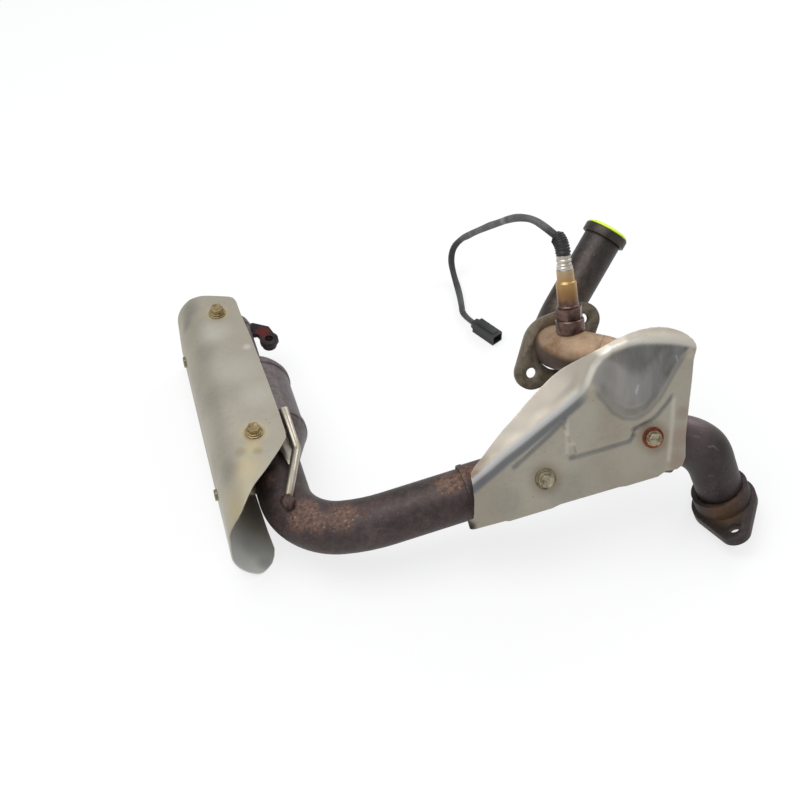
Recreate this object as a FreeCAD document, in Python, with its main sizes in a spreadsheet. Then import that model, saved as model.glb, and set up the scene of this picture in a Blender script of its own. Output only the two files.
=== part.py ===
import FreeCAD, Part
import math
import os
import Sketcher
from FreeCAD import Placement, Rotation, Vector

# Exhaust system of a two cylinder engine, lying on a table as it came off.
# The left end is a catalyst can under a C shaped heat shield. Its pipe turns
# a square corner and climbs to a collector, where the front and the rear
# header meet under a pressed heat shield. Lengths are millimetres. +Z is up,
# +X runs from the can to the rear port and the table is at zero height.

os.makedirs("parts", exist_ok=True)
doc = FreeCAD.newDocument("exhaust_system")
sizes = doc.addObject("Spreadsheet::Sheet", "sizes")

VALUES = [
    # Corner points of the pipe run
    ("elbow_corner_x", -145.12), ("elbow_corner_y", -145.15), ("elbow_corner_z", 50.0),
    ("collector_x", 149.08), ("collector_y", -59.45), ("collector_z", 92.7),
    ("rear_corner_x", 226.98), ("rear_corner_y", -57.05), ("rear_corner_z", 83.6),
    ("rear_port_x", 256.58), ("rear_port_y", -64.85), ("rear_port_z", 12.27),
    ("branch_corner_x", 154.68), ("branch_corner_y", -37.65), ("branch_corner_z", 174.0),
    ("sensor_corner_x", 92.68), ("sensor_corner_y", -23.15), ("sensor_corner_z", 177.5),
    ("front_corner_x", 81.88), ("front_corner_y", 47.05), ("front_corner_z", 122.2),
    ("front_port_x", 142.88), ("front_port_y", 120.25), ("front_port_z", 198.5),
    # Main pipe
    ("main_radius", 24.3), ("main_wall", 1.6), ("elbow_radius", 58.0), ("easing_radius", 150.0),
    ("easing_turn", 16.0), ("fit", 0.2),
    ("coupling_length", 50.0), ("coupling_wall", 2.0), ("coupling_centre", 176.0),
    # Catalyst can, which turns off the main pipe at the elbow corner
    ("can_heading", 16.44), ("elbow_to_can", 135.4), ("can_radius", 39.0), ("can_length", 115.0),
    ("can_wall", 1.5), ("seam_height", 1.6), ("seam_width", 7.0), ("inlet_cone_length", 32.0),
    ("outlet_cone_length", 24.0), ("outlet_radius", 19.0), ("outlet_length", 30.0), ("mat_thickness", 3.5),
    ("core_length", 92.0), ("core_inset", 10.0),
    # Headers
    ("rear_radius", 21.5), ("header_wall", 1.5), ("rear_bend", 46.0), ("collector_wall", 2.0),
    ("branch_bend", 32.0), ("branch_reach", 3.0), ("socket_depth", 9.0),
    ("elbow_pipe_radius", 20.0), ("elbow_bend", 34.0), ("front_radius", 18.4), ("front_bend", 41.0),
    # Rear port flange
    ("rear_plate", 9.0), ("rear_stud_spacing", 80.0), ("rear_side_radius", 31.0), ("rear_lobe_radius", 14.5),
    ("rear_hole", 5.6), ("hub_radius", 27.0), ("hub_height", 17.0), ("rear_flange_turn", 20.2),
    # Front port collar, plug and loose flange
    ("collar_radius", 21.6), ("collar_length", 8.5), ("plug_proud", 3.5), ("plug_wall", 1.6),
    ("front_plate", 8.0), ("front_stud_spacing", 76.0), ("front_side_radius", 31.0),
    ("front_lobe_radius", 15.5), ("front_hole", 4.9), ("front_bore", 20.7), ("front_flange_place", 44.0),
    ("front_flange_turn", 40.5),
    # Oxygen sensor
    ("boss_radius", 13.0), ("boss_foot", 17.5), ("boss_top", 29.5), ("hex_flats", 22.0), ("hex_height", 10.5),
    ("sensor_thread", 9.0), ("body_radius", 9.3), ("body_length", 23.0), ("neck_radius", 7.7),
    ("neck_length", 12.0), ("ferrule_radius", 6.8), ("ferrule_length", 13.0), ("boot_radius", 6.2),
    ("boot_length", 20.0), ("lead_radius", 3.5), ("sensor_turn", 17.0), ("sensor_tip_radius", 6.0),
    # Left heat shield
    ("sheet", 1.2), ("shield_height", 95.0), ("left_shield_back", 180.0), ("left_shield_front", 119.5),
    ("left_side_back", 53.0), ("left_side_front", 61.0), ("left_top_back", 6.0), ("left_top_front", 13.0),
    ("left_floor", 17.0), ("left_top_bend", 34.0), ("left_floor_bend", 22.0),
    ("left_bolt_side", 15.7), ("left_bolt_back", 145.0), ("left_bolt_front", -28.0),
    ("side_bolt_back", 131.5), ("side_bolt_front", -54.0),
    # Fasteners of the shields
    ("screw_radius", 3.0), ("screw_hole", 3.4), ("screw_flats", 10.0), ("head_height", 5.0),
    ("head_flange_radius", 7.2), ("head_flange_height", 1.4), ("washer_radius", 9.7), ("washer_height", 1.4),
    ("boss_nut_radius", 7.0),
    # Right heat shield
    ("shield_gap", 38.0), ("shield_start", 153.3), ("shield_tilt", 31.0),
    ("flank_angle", 26.0), ("dome_length", 54.0), ("dome_width", 48.0), ("dome_height", 36.0),
    ("dome_place", 178.0), ("dome_side", 78.0), ("dome_base", 18.0), ("bead_radius", 3.2),
    ("right_bolt_left", 71.7), ("right_bolt_left_side", 4.6),
    ("right_bolt_right", 175.4), ("right_bolt_right_side", 11.2),
    # Connector on the sensor lead
    ("connector_length", 26.0), ("connector_width", 15.0), ("connector_height", 12.0),
    ("connector_neck", 6.0),
    # Hanger bracket and rod stay of the can
    ("bracket_height", 50.0), ("bracket_plate", 5.0), ("eye_radius", 9.5), ("eye_hole", 4.3),
    ("eye_place", 140.0), ("eye_side", 33.7), ("hanger_nut_radius", 7.5), ("hanger_nut_height", 6.5),
    ("stay_radius", 4.2), ("stay_bend", 12.0), ("gusset_plate", 2.5),
]
for row, (name, value) in enumerate(VALUES, start=1):
    sizes.set(f"A{row}", name)
    sizes.set(f"B{row}", str(value))
    sizes.setAlias(f"B{row}", name)
doc.recompute()

PIECES = []


def size(name):
    return float(getattr(sizes, name))


def spot(name):
    return Vector(size(name + "_x"), size(name + "_y"), size(name + "_z"))


def factor(word):
    if word.startswith("-"):
        return -factor(word[1:])
    return float(word) if word[0].isdigit() else size(word)


def number(text):
    """The value of a sum of products, written with a space between all words."""
    words = text.split()
    total = 0.0
    value = factor(words[0])
    for sign, word in zip(words[1::2], words[2::2]):
        if sign == "*":
            value *= factor(word)
        elif sign == "/":
            value /= factor(word)
        else:
            total += value
            value = factor(word) if sign == "+" else -factor(word)
    return total + value


def linked(text):
    """The same sum as an expression on the sheet."""
    words = []
    for word in text.split():
        bare = word.lstrip("-")
        words.append(word.replace(bare, "sizes." + bare) if bare and bare[0].isalpha() else word)
    return " ".join(words)


def aim(start, along, side):
    """A placement whose X axis runs along a direction, with Y towards the side."""
    x = Vector(along).normalize()
    z = x.cross(side).normalize()
    return Placement(start, Rotation(x, z.cross(x), z, "XYZ"))


def new_body(label, kept=True):
    body = doc.addObject("PartDesign::Body", label)
    body.Label = label
    if kept:
        PIECES.append(body)
    return body


def new_sketch(body, role, name):
    sketch = body.newObject("Sketcher::SketchObject", f"{body.Name}_{name}")
    plane = next(item for item in body.Origin.OriginFeatures if item.Role == role)
    sketch.AttachmentSupport = [(plane, "")]
    sketch.MapMode = "FlatFace"
    return sketch


def bind(sketch, constraint, text):
    index = sketch.addConstraint(constraint)
    sketch.setExpression(f"Constraints[{index}]", linked(text))


def outline(sketch, points):
    """A closed outline whose corners are sums of sheet values."""
    corners = [Vector(number(x), number(y), 0) for x, y in points]
    first = sketch.GeometryCount
    count = len(corners)
    for index in range(count):
        sketch.addGeometry(Part.LineSegment(corners[index], corners[(index + 1) % count]), False)
    for index in range(count):
        following = first + (index + 1) % count
        sketch.addConstraint(Sketcher.Constraint("Coincident", first + index, 2, following, 1))
    for index, (x, y) in enumerate(points):
        line = first + index
        bind(sketch, Sketcher.Constraint("DistanceX", -1, 1, line, 1, number(x)), x)
        bind(sketch, Sketcher.Constraint("DistanceY", -1, 1, line, 1, number(y)), y)


def circle(sketch, radius, x="0", y="0"):
    centre = Vector(number(x), number(y), 0)
    index = sketch.addGeometry(Part.Circle(centre, Vector(0, 0, 1), number(radius)), False)
    bind(sketch, Sketcher.Constraint("Radius", index, number(radius)), radius)
    bind(sketch, Sketcher.Constraint("DistanceX", -1, 1, index, 3, number(x)), x)
    bind(sketch, Sketcher.Constraint("DistanceY", -1, 1, index, 3, number(y)), y)


def turned(label, placement, points, kept=True):
    """A turned piece: the outline is spun about the X axis of the placement."""
    body = new_body(label, kept)
    sketch = new_sketch(body, "XY_Plane", "profile")
    outline(sketch, points)
    spin = body.newObject("PartDesign::Revolution", label + "_spin")
    spin.Profile = sketch
    spin.ReferenceAxis = (sketch, ["H_Axis"])
    spin.Angle = 360
    body.Placement = placement
    return body


def pad(body, sketch, length, name, reverse=False):
    feature = body.newObject("PartDesign::Pad", f"{body.Name}_{name}")
    feature.Profile = sketch
    feature.Length = number(length)
    feature.setExpression("Length", linked(length))
    feature.Reversed = reverse
    return feature


def pocket(body, sketch, name, reverse=True):
    """A cut through everything above the sketch."""
    doc.recompute()
    before = body.Shape.Volume
    feature = body.newObject("PartDesign::Pocket", f"{body.Name}_{name}")
    feature.Profile = sketch
    feature.Type = "ThroughAll"
    feature.Reversed = reverse
    doc.recompute()
    if body.Shape.Volume > before - 1:
        raise ValueError(f"{body.Label}: {name} cuts nothing")
    return feature


def bent_path(sketch, legs, bends):
    """Straight legs and tangent bends to the left, starting along X at the origin."""
    place = Vector(0, 0, 0)
    heading = 0.0
    last = None
    turns = list(bends) + [None]
    for length, bend in zip(legs, turns):
        if length > 0:
            ahead = place + Vector(math.cos(heading), math.sin(heading), 0) * length
            line = sketch.addGeometry(Part.LineSegment(place, ahead), False)
            if last is None:
                sketch.addConstraint(Sketcher.Constraint("Coincident", line, 1, -1, 1))
                sketch.addConstraint(Sketcher.Constraint("Horizontal", line))
            else:
                sketch.addConstraint(Sketcher.Constraint("Tangent", last, 2, line, 1))
            sketch.addConstraint(Sketcher.Constraint("Distance", line, length))
            place = ahead
            last = line
        if bend is None:
            continue
        radius, turn = bend
        centre = place + Vector(-math.sin(heading), math.cos(heading), 0) * number(radius)
        ring = Part.Circle(centre, Vector(0, 0, 1), number(radius))
        start = heading - math.pi / 2
        arc = sketch.addGeometry(Part.ArcOfCircle(ring, start, start + turn), False)
        sketch.addConstraint(Sketcher.Constraint("Tangent", last, 2, arc, 1))
        bind(sketch, Sketcher.Constraint("Radius", arc, number(radius)), radius)
        sketch.addConstraint(Sketcher.Constraint("Angle", arc, turn))
        heading += turn
        place = centre + Vector(math.sin(heading), -math.cos(heading), 0) * number(radius)
        last = arc


def pipe(label, placement, radius, wall, legs, bends, kept=True):
    """A bent tube in the XY plane of the placement."""
    body = new_body(label, kept)
    path = new_sketch(body, "XY_Plane", "path")
    bent_path(path, legs, bends)
    section = new_sketch(body, "YZ_Plane", "section")
    circle(section, radius)
    circle(section, f"{radius} - {wall}")
    doc.recompute()
    sweep = body.newObject("PartDesign::AdditivePipe", label + "_sweep")
    sweep.Profile = section
    sweep.Spine = (path, [f"Edge{index + 1}" for index in range(path.GeometryCount)])
    body.Placement = placement
    return body


def solid_feature(label, shape):
    feature = doc.addObject("Part::Feature", label)
    feature.Label = label
    feature.Shape = shape
    PIECES.append(feature)
    return feature


def rounded_route(points, radii):
    """Straight runs between the points, joined by tangent arcs."""
    edges = []
    start = points[0]
    for index in range(1, len(points) - 1):
        corner = points[index]
        back = (points[index - 1] - corner).normalize()
        ahead = (points[index + 1] - corner).normalize()
        half = (math.pi - back.getAngle(ahead)) / 2
        reach = radii[index - 1] * math.tan(half)
        inside = (back + ahead).normalize()
        middle = corner + inside * (radii[index - 1] * (1 / math.cos(half) - 1))
        first, second = corner + back * reach, corner + ahead * reach
        edges.append(Part.LineSegment(start, first).toShape())
        edges.append(Part.Arc(first, middle, second).toShape())
        start = second
    edges.append(Part.LineSegment(start, points[-1]).toShape())
    return Part.Wire(edges)


def swept(points, radii, radius):
    """A solid rod of round section along a rounded route."""
    route = rounded_route(points, radii)
    ring = Part.Wire(Part.makeCircle(radius, points[0], points[1] - points[0]))
    return route.makePipeShell([ring], True, True), route.Length


# Directions of the run, worked out from its corner points
elbow_corner = spot("elbow_corner")
collector = spot("collector")
rear_corner = spot("rear_corner")
rear_port = spot("rear_port")
branch_corner = spot("branch_corner")
sensor_corner = spot("sensor_corner")
front_corner = spot("front_corner")
front_port = spot("front_port")
heading = math.radians(size("can_heading"))
can_line = Vector(-math.sin(heading), math.cos(heading), 0)
main_line = (collector - elbow_corner).normalize()
can_front = elbow_corner + can_line * size("elbow_to_can")

# Catalyst can with its cones, core and outlet
can_place = aim(can_front, can_line, Vector(0, 0, 1))
turned("catalyst_shell", can_place, [
    ("0", "can_radius"), ("0", "can_radius + seam_height"), ("seam_width", "can_radius + seam_height"),
    ("seam_width + seam_height", "can_radius"), ("can_length", "can_radius"),
    ("can_length", "can_radius - can_wall"), ("0", "can_radius - can_wall")])
inlet_cone = turned("inlet_cone", can_place, [
    ("0 - fit", "can_radius + seam_height"), ("-seam_width", "can_radius + seam_height"),
    ("-seam_width - seam_height", "can_radius - can_wall"),
    ("-inlet_cone_length", "main_radius + can_wall + fit"),
    ("-inlet_cone_length - seam_width", "main_radius + can_wall + fit"),
    ("-inlet_cone_length - seam_width", "main_radius + fit"),
    ("-inlet_cone_length", "main_radius + fit"),
    ("-seam_width - seam_height", "can_radius - can_wall * 2"),
    ("0 - fit", "can_radius - can_wall")])
outlet_cone = turned("outlet_cone", can_place, [
    ("can_length + fit", "can_radius"), ("can_length + seam_width", "can_radius"),
    ("can_length + outlet_cone_length", "outlet_radius + can_wall + fit"),
    ("can_length + outlet_cone_length + seam_width", "outlet_radius + can_wall + fit"),
    ("can_length + outlet_cone_length + seam_width", "outlet_radius + fit"),
    ("can_length + outlet_cone_length", "outlet_radius + fit"),
    ("can_length + seam_width", "can_radius - can_wall"),
    ("can_length + fit", "can_radius - can_wall")])
turned("outlet_pipe", can_place, [
    ("can_length + outlet_cone_length", "outlet_radius"),
    ("can_length + outlet_cone_length + outlet_length", "outlet_radius"),
    ("can_length + outlet_cone_length + outlet_length", "outlet_radius - can_wall"),
    ("can_length + outlet_cone_length", "outlet_radius - can_wall")])
turned("catalyst_mat", can_place, [
    ("core_inset", "can_radius - can_wall - fit"),
    ("core_inset + core_length", "can_radius - can_wall - fit"),
    ("core_inset + core_length", "can_radius - can_wall - mat_thickness"),
    ("core_inset", "can_radius - can_wall - mat_thickness")])
turned("catalyst_core", can_place, [
    ("core_inset", "0"), ("core_inset", "can_radius - can_wall - mat_thickness - fit"),
    ("core_inset + core_length", "can_radius - can_wall - mat_thickness - fit"),
    ("core_inset + core_length", "0")])

# Main pipe: out of the can, round the elbow and straight up to the coupling
whole_turn = (can_line * -1).getAngle(main_line)
easing = math.radians(size("easing_turn"))
sharp = whole_turn - easing
bend_run = (size("elbow_radius") * math.sin(sharp)
            + size("easing_radius") * (math.sin(whole_turn) - math.sin(sharp)))
bend_rise = (size("elbow_radius") * (1 - math.cos(sharp))
             + size("easing_radius") * (math.cos(sharp) - math.cos(whole_turn)))
slip = size("inlet_cone_length")
first_leg = (size("elbow_to_can") - slip - bend_run + bend_rise / math.tan(whole_turn))
main_reach = (collector - elbow_corner).Length - size("coupling_centre")
last_leg = main_reach + size("coupling_length") / 2 - bend_rise / math.sin(whole_turn)
main_start = can_front - can_line * slip
main_pipe = pipe("main_pipe", aim(main_start, can_line * -1, main_line), "main_radius", "main_wall",
     [first_leg, 0, last_leg], [("elbow_radius", sharp), ("easing_radius", easing)])
coupling_start = elbow_corner + main_line * main_reach
turned("coupling_sleeve", aim(coupling_start, main_line, Vector(0, 0, 1)), [
    ("0", "main_radius + fit"), ("0", "main_radius + coupling_wall + fit"),
    ("coupling_length", "main_radius + coupling_wall + fit"), ("coupling_length", "main_radius + fit")])

# Collector: the neck, the rear socket and the front branch in one pressing
neck_start = elbow_corner + main_line * (main_reach + size("coupling_length") / 2 + size("fit"))
rear_line = (rear_corner - collector).normalize()
branch_line = (branch_corner - collector).normalize()
link_line = (sensor_corner - branch_corner).normalize()
branch_turn = branch_line.getAngle(link_line)
branch_tangent = size("branch_bend") * math.tan(branch_turn / 2)
branch_end = branch_corner + link_line * (branch_tangent + size("branch_reach"))
rear_leg = (rear_corner - collector).Length
rear_turn = rear_line.getAngle(rear_port - rear_corner)
rear_tangent = size("rear_bend") * math.tan(rear_turn / 2)
rear_socket = rear_leg - rear_tangent - size("socket_depth") / 2


def collector_form(grow):
    """The collector's outer form, or its hollow when the growth is less than nothing."""
    neck = size("main_radius") + grow
    rear = size("rear_radius") + size("fit") + size("collector_wall") + grow
    branch = size("elbow_pipe_radius") + grow
    over = 1 if grow < 0 else 0
    form = Part.makeCylinder(neck, (collector - neck_start).Length + over, neck_start - main_line * over,
                             main_line)
    form = form.fuse(Part.makeSphere(rear + 2.5, collector))
    form = form.fuse(Part.makeCylinder(rear, rear_socket + over, collector, rear_line))
    arm, _ = swept([collector, branch_corner, branch_end + link_line * over], [size("branch_bend")], branch)
    return form.fuse(arm)


solid_feature("collector", collector_form(0).cut(collector_form(-size("collector_wall"))).removeSplitter())

# Rear header and its port flange
rear_start = collector + rear_line * (rear_socket - size("socket_depth"))
port_line = (rear_port - rear_corner).normalize()
port_leg = (rear_port - rear_corner).Length - rear_tangent
rear_first = rear_leg - rear_tangent - (rear_start - collector).Length
pipe("rear_header", aim(rear_start, rear_line, port_line), "rear_radius", "header_wall",
     [rear_first, port_leg], [("rear_bend", rear_turn)])


def flange_outline(sketch, spacing, side, lobe):
    """A rhombus whose sides touch the middle circle and the two lobe circles."""
    lean = (size(side) - size(lobe)) * 2 / size(spacing)
    tip = size(side) / lean
    flank = size(side) / math.sqrt(1 - lean * lean)
    corners = [Vector(tip, 0, 0), Vector(0, flank, 0), Vector(-tip, 0, 0), Vector(0, -flank, 0)]
    for index in range(4):
        sketch.addGeometry(Part.LineSegment(corners[index], corners[(index + 1) % 4]), False)
    for index in range(4):
        sketch.addConstraint(Sketcher.Constraint("Coincident", index, 2, (index + 1) % 4, 1))
        sketch.addConstraint(Sketcher.Constraint("DistanceX", -1, 1, index, 1, corners[index].x))
        sketch.addConstraint(Sketcher.Constraint("DistanceY", -1, 1, index, 1, corners[index].y))


def upright_edges(shape, ends):
    """Names of the edges along Z at the lobe ends, or at the sides."""
    names = []
    for index, edge in enumerate(shape.Edges, start=1):
        if abs(edge.tangentAt(edge.FirstParameter).z) < 0.99:
            continue
        at_end = abs(edge.CenterOfMass.x) > abs(edge.CenterOfMass.y)
        if at_end == ends:
            names.append(f"Edge{index}")
    return names


def port_flange(label, placement, thickness, spacing, side, lobe, hole):
    """A two hole flange plate with round lobes, standing on the XY plane."""
    body = new_body(label)
    plan = new_sketch(body, "XY_Plane", "plan")
    flange_outline(plan, spacing, side, lobe)
    base = pad(body, plan, thickness, "plate")
    for name, ends, radius in (("lobes", True, lobe), ("sides", False, side)):
        doc.recompute()
        rounding = body.newObject("PartDesign::Fillet", f"{label}_{name}")
        rounding.Base = (base, upright_edges(base.Shape, ends))
        rounding.Radius = number(radius)
        rounding.setExpression("Radius", linked(radius))
        base = rounding
    holes = new_sketch(body, "XY_Plane", "holes")
    circle(holes, hole, f"{spacing} / 2")
    circle(holes, hole, f"-{spacing} / 2")
    pocket(body, holes, "stud_holes")
    body.Placement = placement
    return body


def flange_bore(body, radius):
    ring = new_sketch(body, "XY_Plane", "bore_ring")
    circle(ring, radius)
    pocket(body, ring, "bore")


def plate_place(centre, normal, turn):
    """A placement whose Z axis is the normal, with X turned up from the level."""
    level = Vector(0, 0, 1).cross(normal).normalize()
    climb = Vector(normal).cross(level).normalize()
    angle = math.radians(size(turn))
    x = level * math.cos(angle) + climb * math.sin(angle)
    return Placement(centre, Rotation(x, Vector(normal).cross(x), normal, "ZXY"))


rear_flange = port_flange("rear_flange", plate_place(rear_port, port_line * -1, "rear_flange_turn"),
                          "rear_plate", "rear_stud_spacing", "rear_side_radius", "rear_lobe_radius",
                          "rear_hole")
hub = new_sketch(rear_flange, "XY_Plane", "hub_ring")
circle(hub, "hub_radius")
pad(rear_flange, hub, "rear_plate + hub_height", "hub")
flange_bore(rear_flange, "rear_radius + fit")

# Front header, its collar and plug, and the elbow that carries the sensor
sensor_line = (front_corner - sensor_corner).normalize()
front_line = (front_port - front_corner).normalize()
elbow_turn = math.pi - (branch_corner - sensor_corner).getAngle(sensor_line)
elbow_tangent = size("elbow_bend") * math.tan(elbow_turn / 2)
elbow_start = branch_end + link_line * size("fit")
elbow_first = (sensor_corner - elbow_start).Length - elbow_tangent
elbow_last = size("socket_depth") + size("branch_reach")
elbow_end = sensor_corner + sensor_line * (elbow_tangent + elbow_last)
elbow_tube = pipe("elbow_tube", aim(elbow_start, link_line, sensor_line), "elbow_pipe_radius", "header_wall",
                  [elbow_first, elbow_last], [("elbow_bend", elbow_turn)], kept=False)
front_turn = math.pi - (sensor_corner - front_corner).getAngle(front_line)
front_tangent = size("front_bend") * math.tan(front_turn / 2)
front_start = elbow_end - sensor_line * size("socket_depth")
front_first = (front_corner - front_start).Length - front_tangent
front_last = (front_port - front_corner).Length - front_tangent
pipe("front_header", aim(front_start, sensor_line, front_line), "front_radius", "header_wall",
     [front_first, front_last], [("front_bend", front_turn)])
port_place = aim(front_port, front_line * -1, Vector(0, 0, 1))
turned("port_collar", port_place, [
    ("0", "front_radius + fit"), ("0", "collar_radius - 0.6"), ("0.6", "collar_radius"),
    ("collar_length", "collar_radius"), ("collar_length", "front_radius + fit")])
turned("port_plug", port_place, [
    ("-plug_proud", "0"), ("-plug_proud", "front_radius - plug_wall"), ("-plug_wall", "collar_radius - 1"),
    ("-fit", "collar_radius - 1"), ("-fit", "front_radius - header_wall - fit"),
    ("collar_length + plug_proud", "front_radius - header_wall - fit"),
    ("collar_length + plug_proud", "front_radius - header_wall - plug_wall"),
    ("-fit", "front_radius - header_wall - plug_wall"), ("-fit", "0")])
flange_centre = sensor_corner + sensor_line * (size("front_flange_place") + size("front_plate") / 2)
flange_down = (sensor_line * sensor_line.z - Vector(0, 0, 1)).normalize()
flange_seat = flange_centre + flange_down * (size("front_bore") - size("front_radius") - size("fit") / 2)
front_flange = port_flange("front_flange", plate_place(flange_seat, sensor_line * -1, "front_flange_turn"),
                           "front_plate", "front_stud_spacing", "front_side_radius", "front_lobe_radius",
                           "front_hole")
flange_bore(front_flange, "front_bore")

# Oxygen sensor, which stands on the inner side of its elbow
bend_inside = ((branch_corner - sensor_corner).normalize() + sensor_line).normalize()
bend_centre_gap = size("elbow_bend") * (1 / math.cos(elbow_turn / 2) - 1)
sensor_foot = sensor_corner + bend_inside * bend_centre_gap
elbow_run = ((branch_corner - sensor_corner).normalize() - sensor_line).normalize()
elbow_up = (Vector(0, 0, 1) - elbow_run * elbow_run.z).normalize()
sensor_angle = math.radians(size("sensor_turn"))
sensor_axis = elbow_up * math.cos(sensor_angle) - elbow_run.cross(elbow_up) * math.sin(sensor_angle)


def sensor_place(distance):
    return aim(sensor_foot + sensor_axis * distance, sensor_axis, elbow_run)


drill = doc.addObject("Part::Cylinder", "sensor_drill")
drill.setExpression("Radius", "sizes.sensor_thread + sizes.fit * 2")
drill.setExpression("Height", "sizes.boss_top")
drill.Placement = Placement(sensor_foot, Rotation(Vector(0, 0, 1), sensor_axis))
sensor_elbow = doc.addObject("Part::Cut", "sensor_elbow")
sensor_elbow.Base = elbow_tube
sensor_elbow.Tool = drill
PIECES.append(sensor_elbow)

boss_ring = turned("boss_ring", sensor_place(0), [
    ("boss_foot", "sensor_thread + fit"), ("boss_foot", "boss_radius"), ("boss_top - 1", "boss_radius"),
    ("boss_top", "boss_radius - 1"), ("boss_top", "sensor_thread + fit")], kept=False)
doc.recompute()
elbow_outer, _ = swept([elbow_start, sensor_corner, elbow_end], [size("elbow_bend")],
                       size("elbow_pipe_radius") + size("fit") / 2)
solid_feature("sensor_boss", boss_ring.Shape.cut(elbow_outer))

sensor_hex = new_body("sensor_hex")
hexagon = [("hex_flats * 0.57735", "0"), ("hex_flats * 0.288675", "hex_flats / 2"),
           ("-hex_flats * 0.288675", "hex_flats / 2"), ("-hex_flats * 0.57735", "0"),
           ("-hex_flats * 0.288675", "-hex_flats / 2"), ("hex_flats * 0.288675", "-hex_flats / 2")]
hex_plan = new_sketch(sensor_hex, "YZ_Plane", "plan")
outline(hex_plan, hexagon)
pad(sensor_hex, hex_plan, "hex_height", "flats")
thread_plan = new_sketch(sensor_hex, "YZ_Plane", "thread_plan")
circle(thread_plan, "sensor_thread")
pad(sensor_hex, thread_plan, "boss_top - boss_foot", "thread", reverse=True)
sensor_hex.Placement = sensor_place(size("boss_top") + size("fit"))
hex_top = size("boss_top") + size("fit") + size("hex_height")
turned("sensor_tip", sensor_place(0), [
    ("boss_foot - 13", "0"), ("boss_foot - 14", "sensor_tip_radius - 1"),
    ("boss_foot - 13", "sensor_tip_radius"),
    ("boss_foot", "sensor_tip_radius"), ("boss_foot", "0")])
turned("sensor_shell", sensor_place(hex_top), [
    ("0", "0"), ("0", "body_radius + 0.8"), ("1.5", "body_radius + 0.8"), ("2.5", "body_radius"),
    ("body_length", "body_radius"), ("body_length + 1.6", "neck_radius"),
    ("body_length + neck_length", "neck_radius"), ("body_length + neck_length", "0")])
ferrule_start = hex_top + size("body_length") + size("neck_length")
turned("sensor_ferrule", sensor_place(ferrule_start), [
    ("0", "0"), ("0", "ferrule_radius + 0.5"), ("2.5", "ferrule_radius + 0.5"), ("3", "ferrule_radius"),
    ("5", "ferrule_radius"), ("5.4", "ferrule_radius - 0.7"), ("6.8", "ferrule_radius - 0.7"),
    ("7.2", "ferrule_radius"), ("9", "ferrule_radius"), ("9.4", "ferrule_radius - 0.7"),
    ("10.6", "ferrule_radius - 0.7"), ("11", "ferrule_radius"), ("ferrule_length", "ferrule_radius"),
    ("ferrule_length", "0")])

# Sensor lead: out of its boot, over and down to the table, and round to the connector
ferrule_top = sensor_foot + sensor_axis * (ferrule_start + size("ferrule_length"))
LEAD_EXIT = Vector(82, 33.2, 263)
LEAD_POINTS = [
    Vector(62.3, 49.5, 268.8), Vector(51.3, 60, 262.5), Vector(43.9, 79.7, 245), Vector(38.9, 114.5, 214),
    Vector(34.1, 153.6, 180), Vector(29, 195, 143), Vector(23.1, 233.5, 108), Vector(17.2, 269.5, 74),
    Vector(13.8, 294.9, 50.8), Vector(4.6, 299.1, 35.3), Vector(1.9, 294.9, 19.8), Vector(5.3, 283.5, 8),
    Vector(9.3, 266.5, 4.3), Vector(11.7, 249, 4.3), Vector(13.1, 232, 4.3), Vector(13.5, 222, 5),
    Vector(19.6, 209.9, 6), Vector(26.6, 202.5, 6)]


def lead_radii(points):
    """The largest arc that each corner's two runs allow."""
    radii = []
    for before, corner, after in zip(points, points[1:], points[2:]):
        back, ahead = before - corner, after - corner
        half = (math.pi - back.getAngle(ahead)) / 2
        radii.append(0.45 * min(back.Length, ahead.Length) / math.tan(half))
    return radii


boot_corner = ferrule_top + sensor_axis * size("boot_length") * 0.35
boot_line = (LEAD_EXIT - boot_corner).normalize()
lead_points = [LEAD_EXIT, LEAD_EXIT + boot_line * 13] + LEAD_POINTS
radii = lead_radii(lead_points)
print("lead arcs", [round(radius, 1) for radius in radii])
lead_shape, lead_length = swept(lead_points, radii, size("lead_radius"))
solid_feature("sensor_lead", lead_shape)
print("lead length", round(lead_length, 1), "volume ratio",
      round(lead_shape.Volume / (math.pi * size("lead_radius") ** 2 * lead_length), 4))
boot_points = [ferrule_top, boot_corner, LEAD_EXIT]
boot_half = sensor_axis.getAngle(boot_points[2] - boot_points[1]) / 2
boot_bend = 0.8 * (boot_points[1] - boot_points[0]).Length / math.tan(boot_half)
boot_shape, _ = swept(boot_points, [boot_bend], size("boot_radius"))
solid_feature("sensor_boot", boot_shape)

connector_end = LEAD_POINTS[-1]
connector_line = LEAD_POINTS[-1] - LEAD_POINTS[-2]
connector_start = connector_end + Vector(connector_line).normalize() * size("connector_neck")
connector_place = aim(connector_start, connector_line, Vector(0, 0, 1))
connector = new_body("connector")
connector_plan = new_sketch(connector, "YZ_Plane", "plan")
outline(connector_plan, [
    ("-connector_height / 2", "-connector_width / 2"), ("connector_height / 2", "-connector_width / 2"),
    ("connector_height / 2", "connector_width / 2"), ("-connector_height / 2", "connector_width / 2")])
pad(connector, connector_plan, "connector_length", "housing")
neck_plan = new_sketch(connector, "YZ_Plane", "neck_plan")
outline(neck_plan, [
    ("-connector_height / 3", "-connector_width / 3"), ("connector_height / 3", "-connector_width / 3"),
    ("connector_height / 3", "connector_width / 3"), ("-connector_height / 3", "connector_width / 3")])
pad(connector, neck_plan, "connector_neck", "neck", reverse=True)
connector.Placement = connector_place

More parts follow.
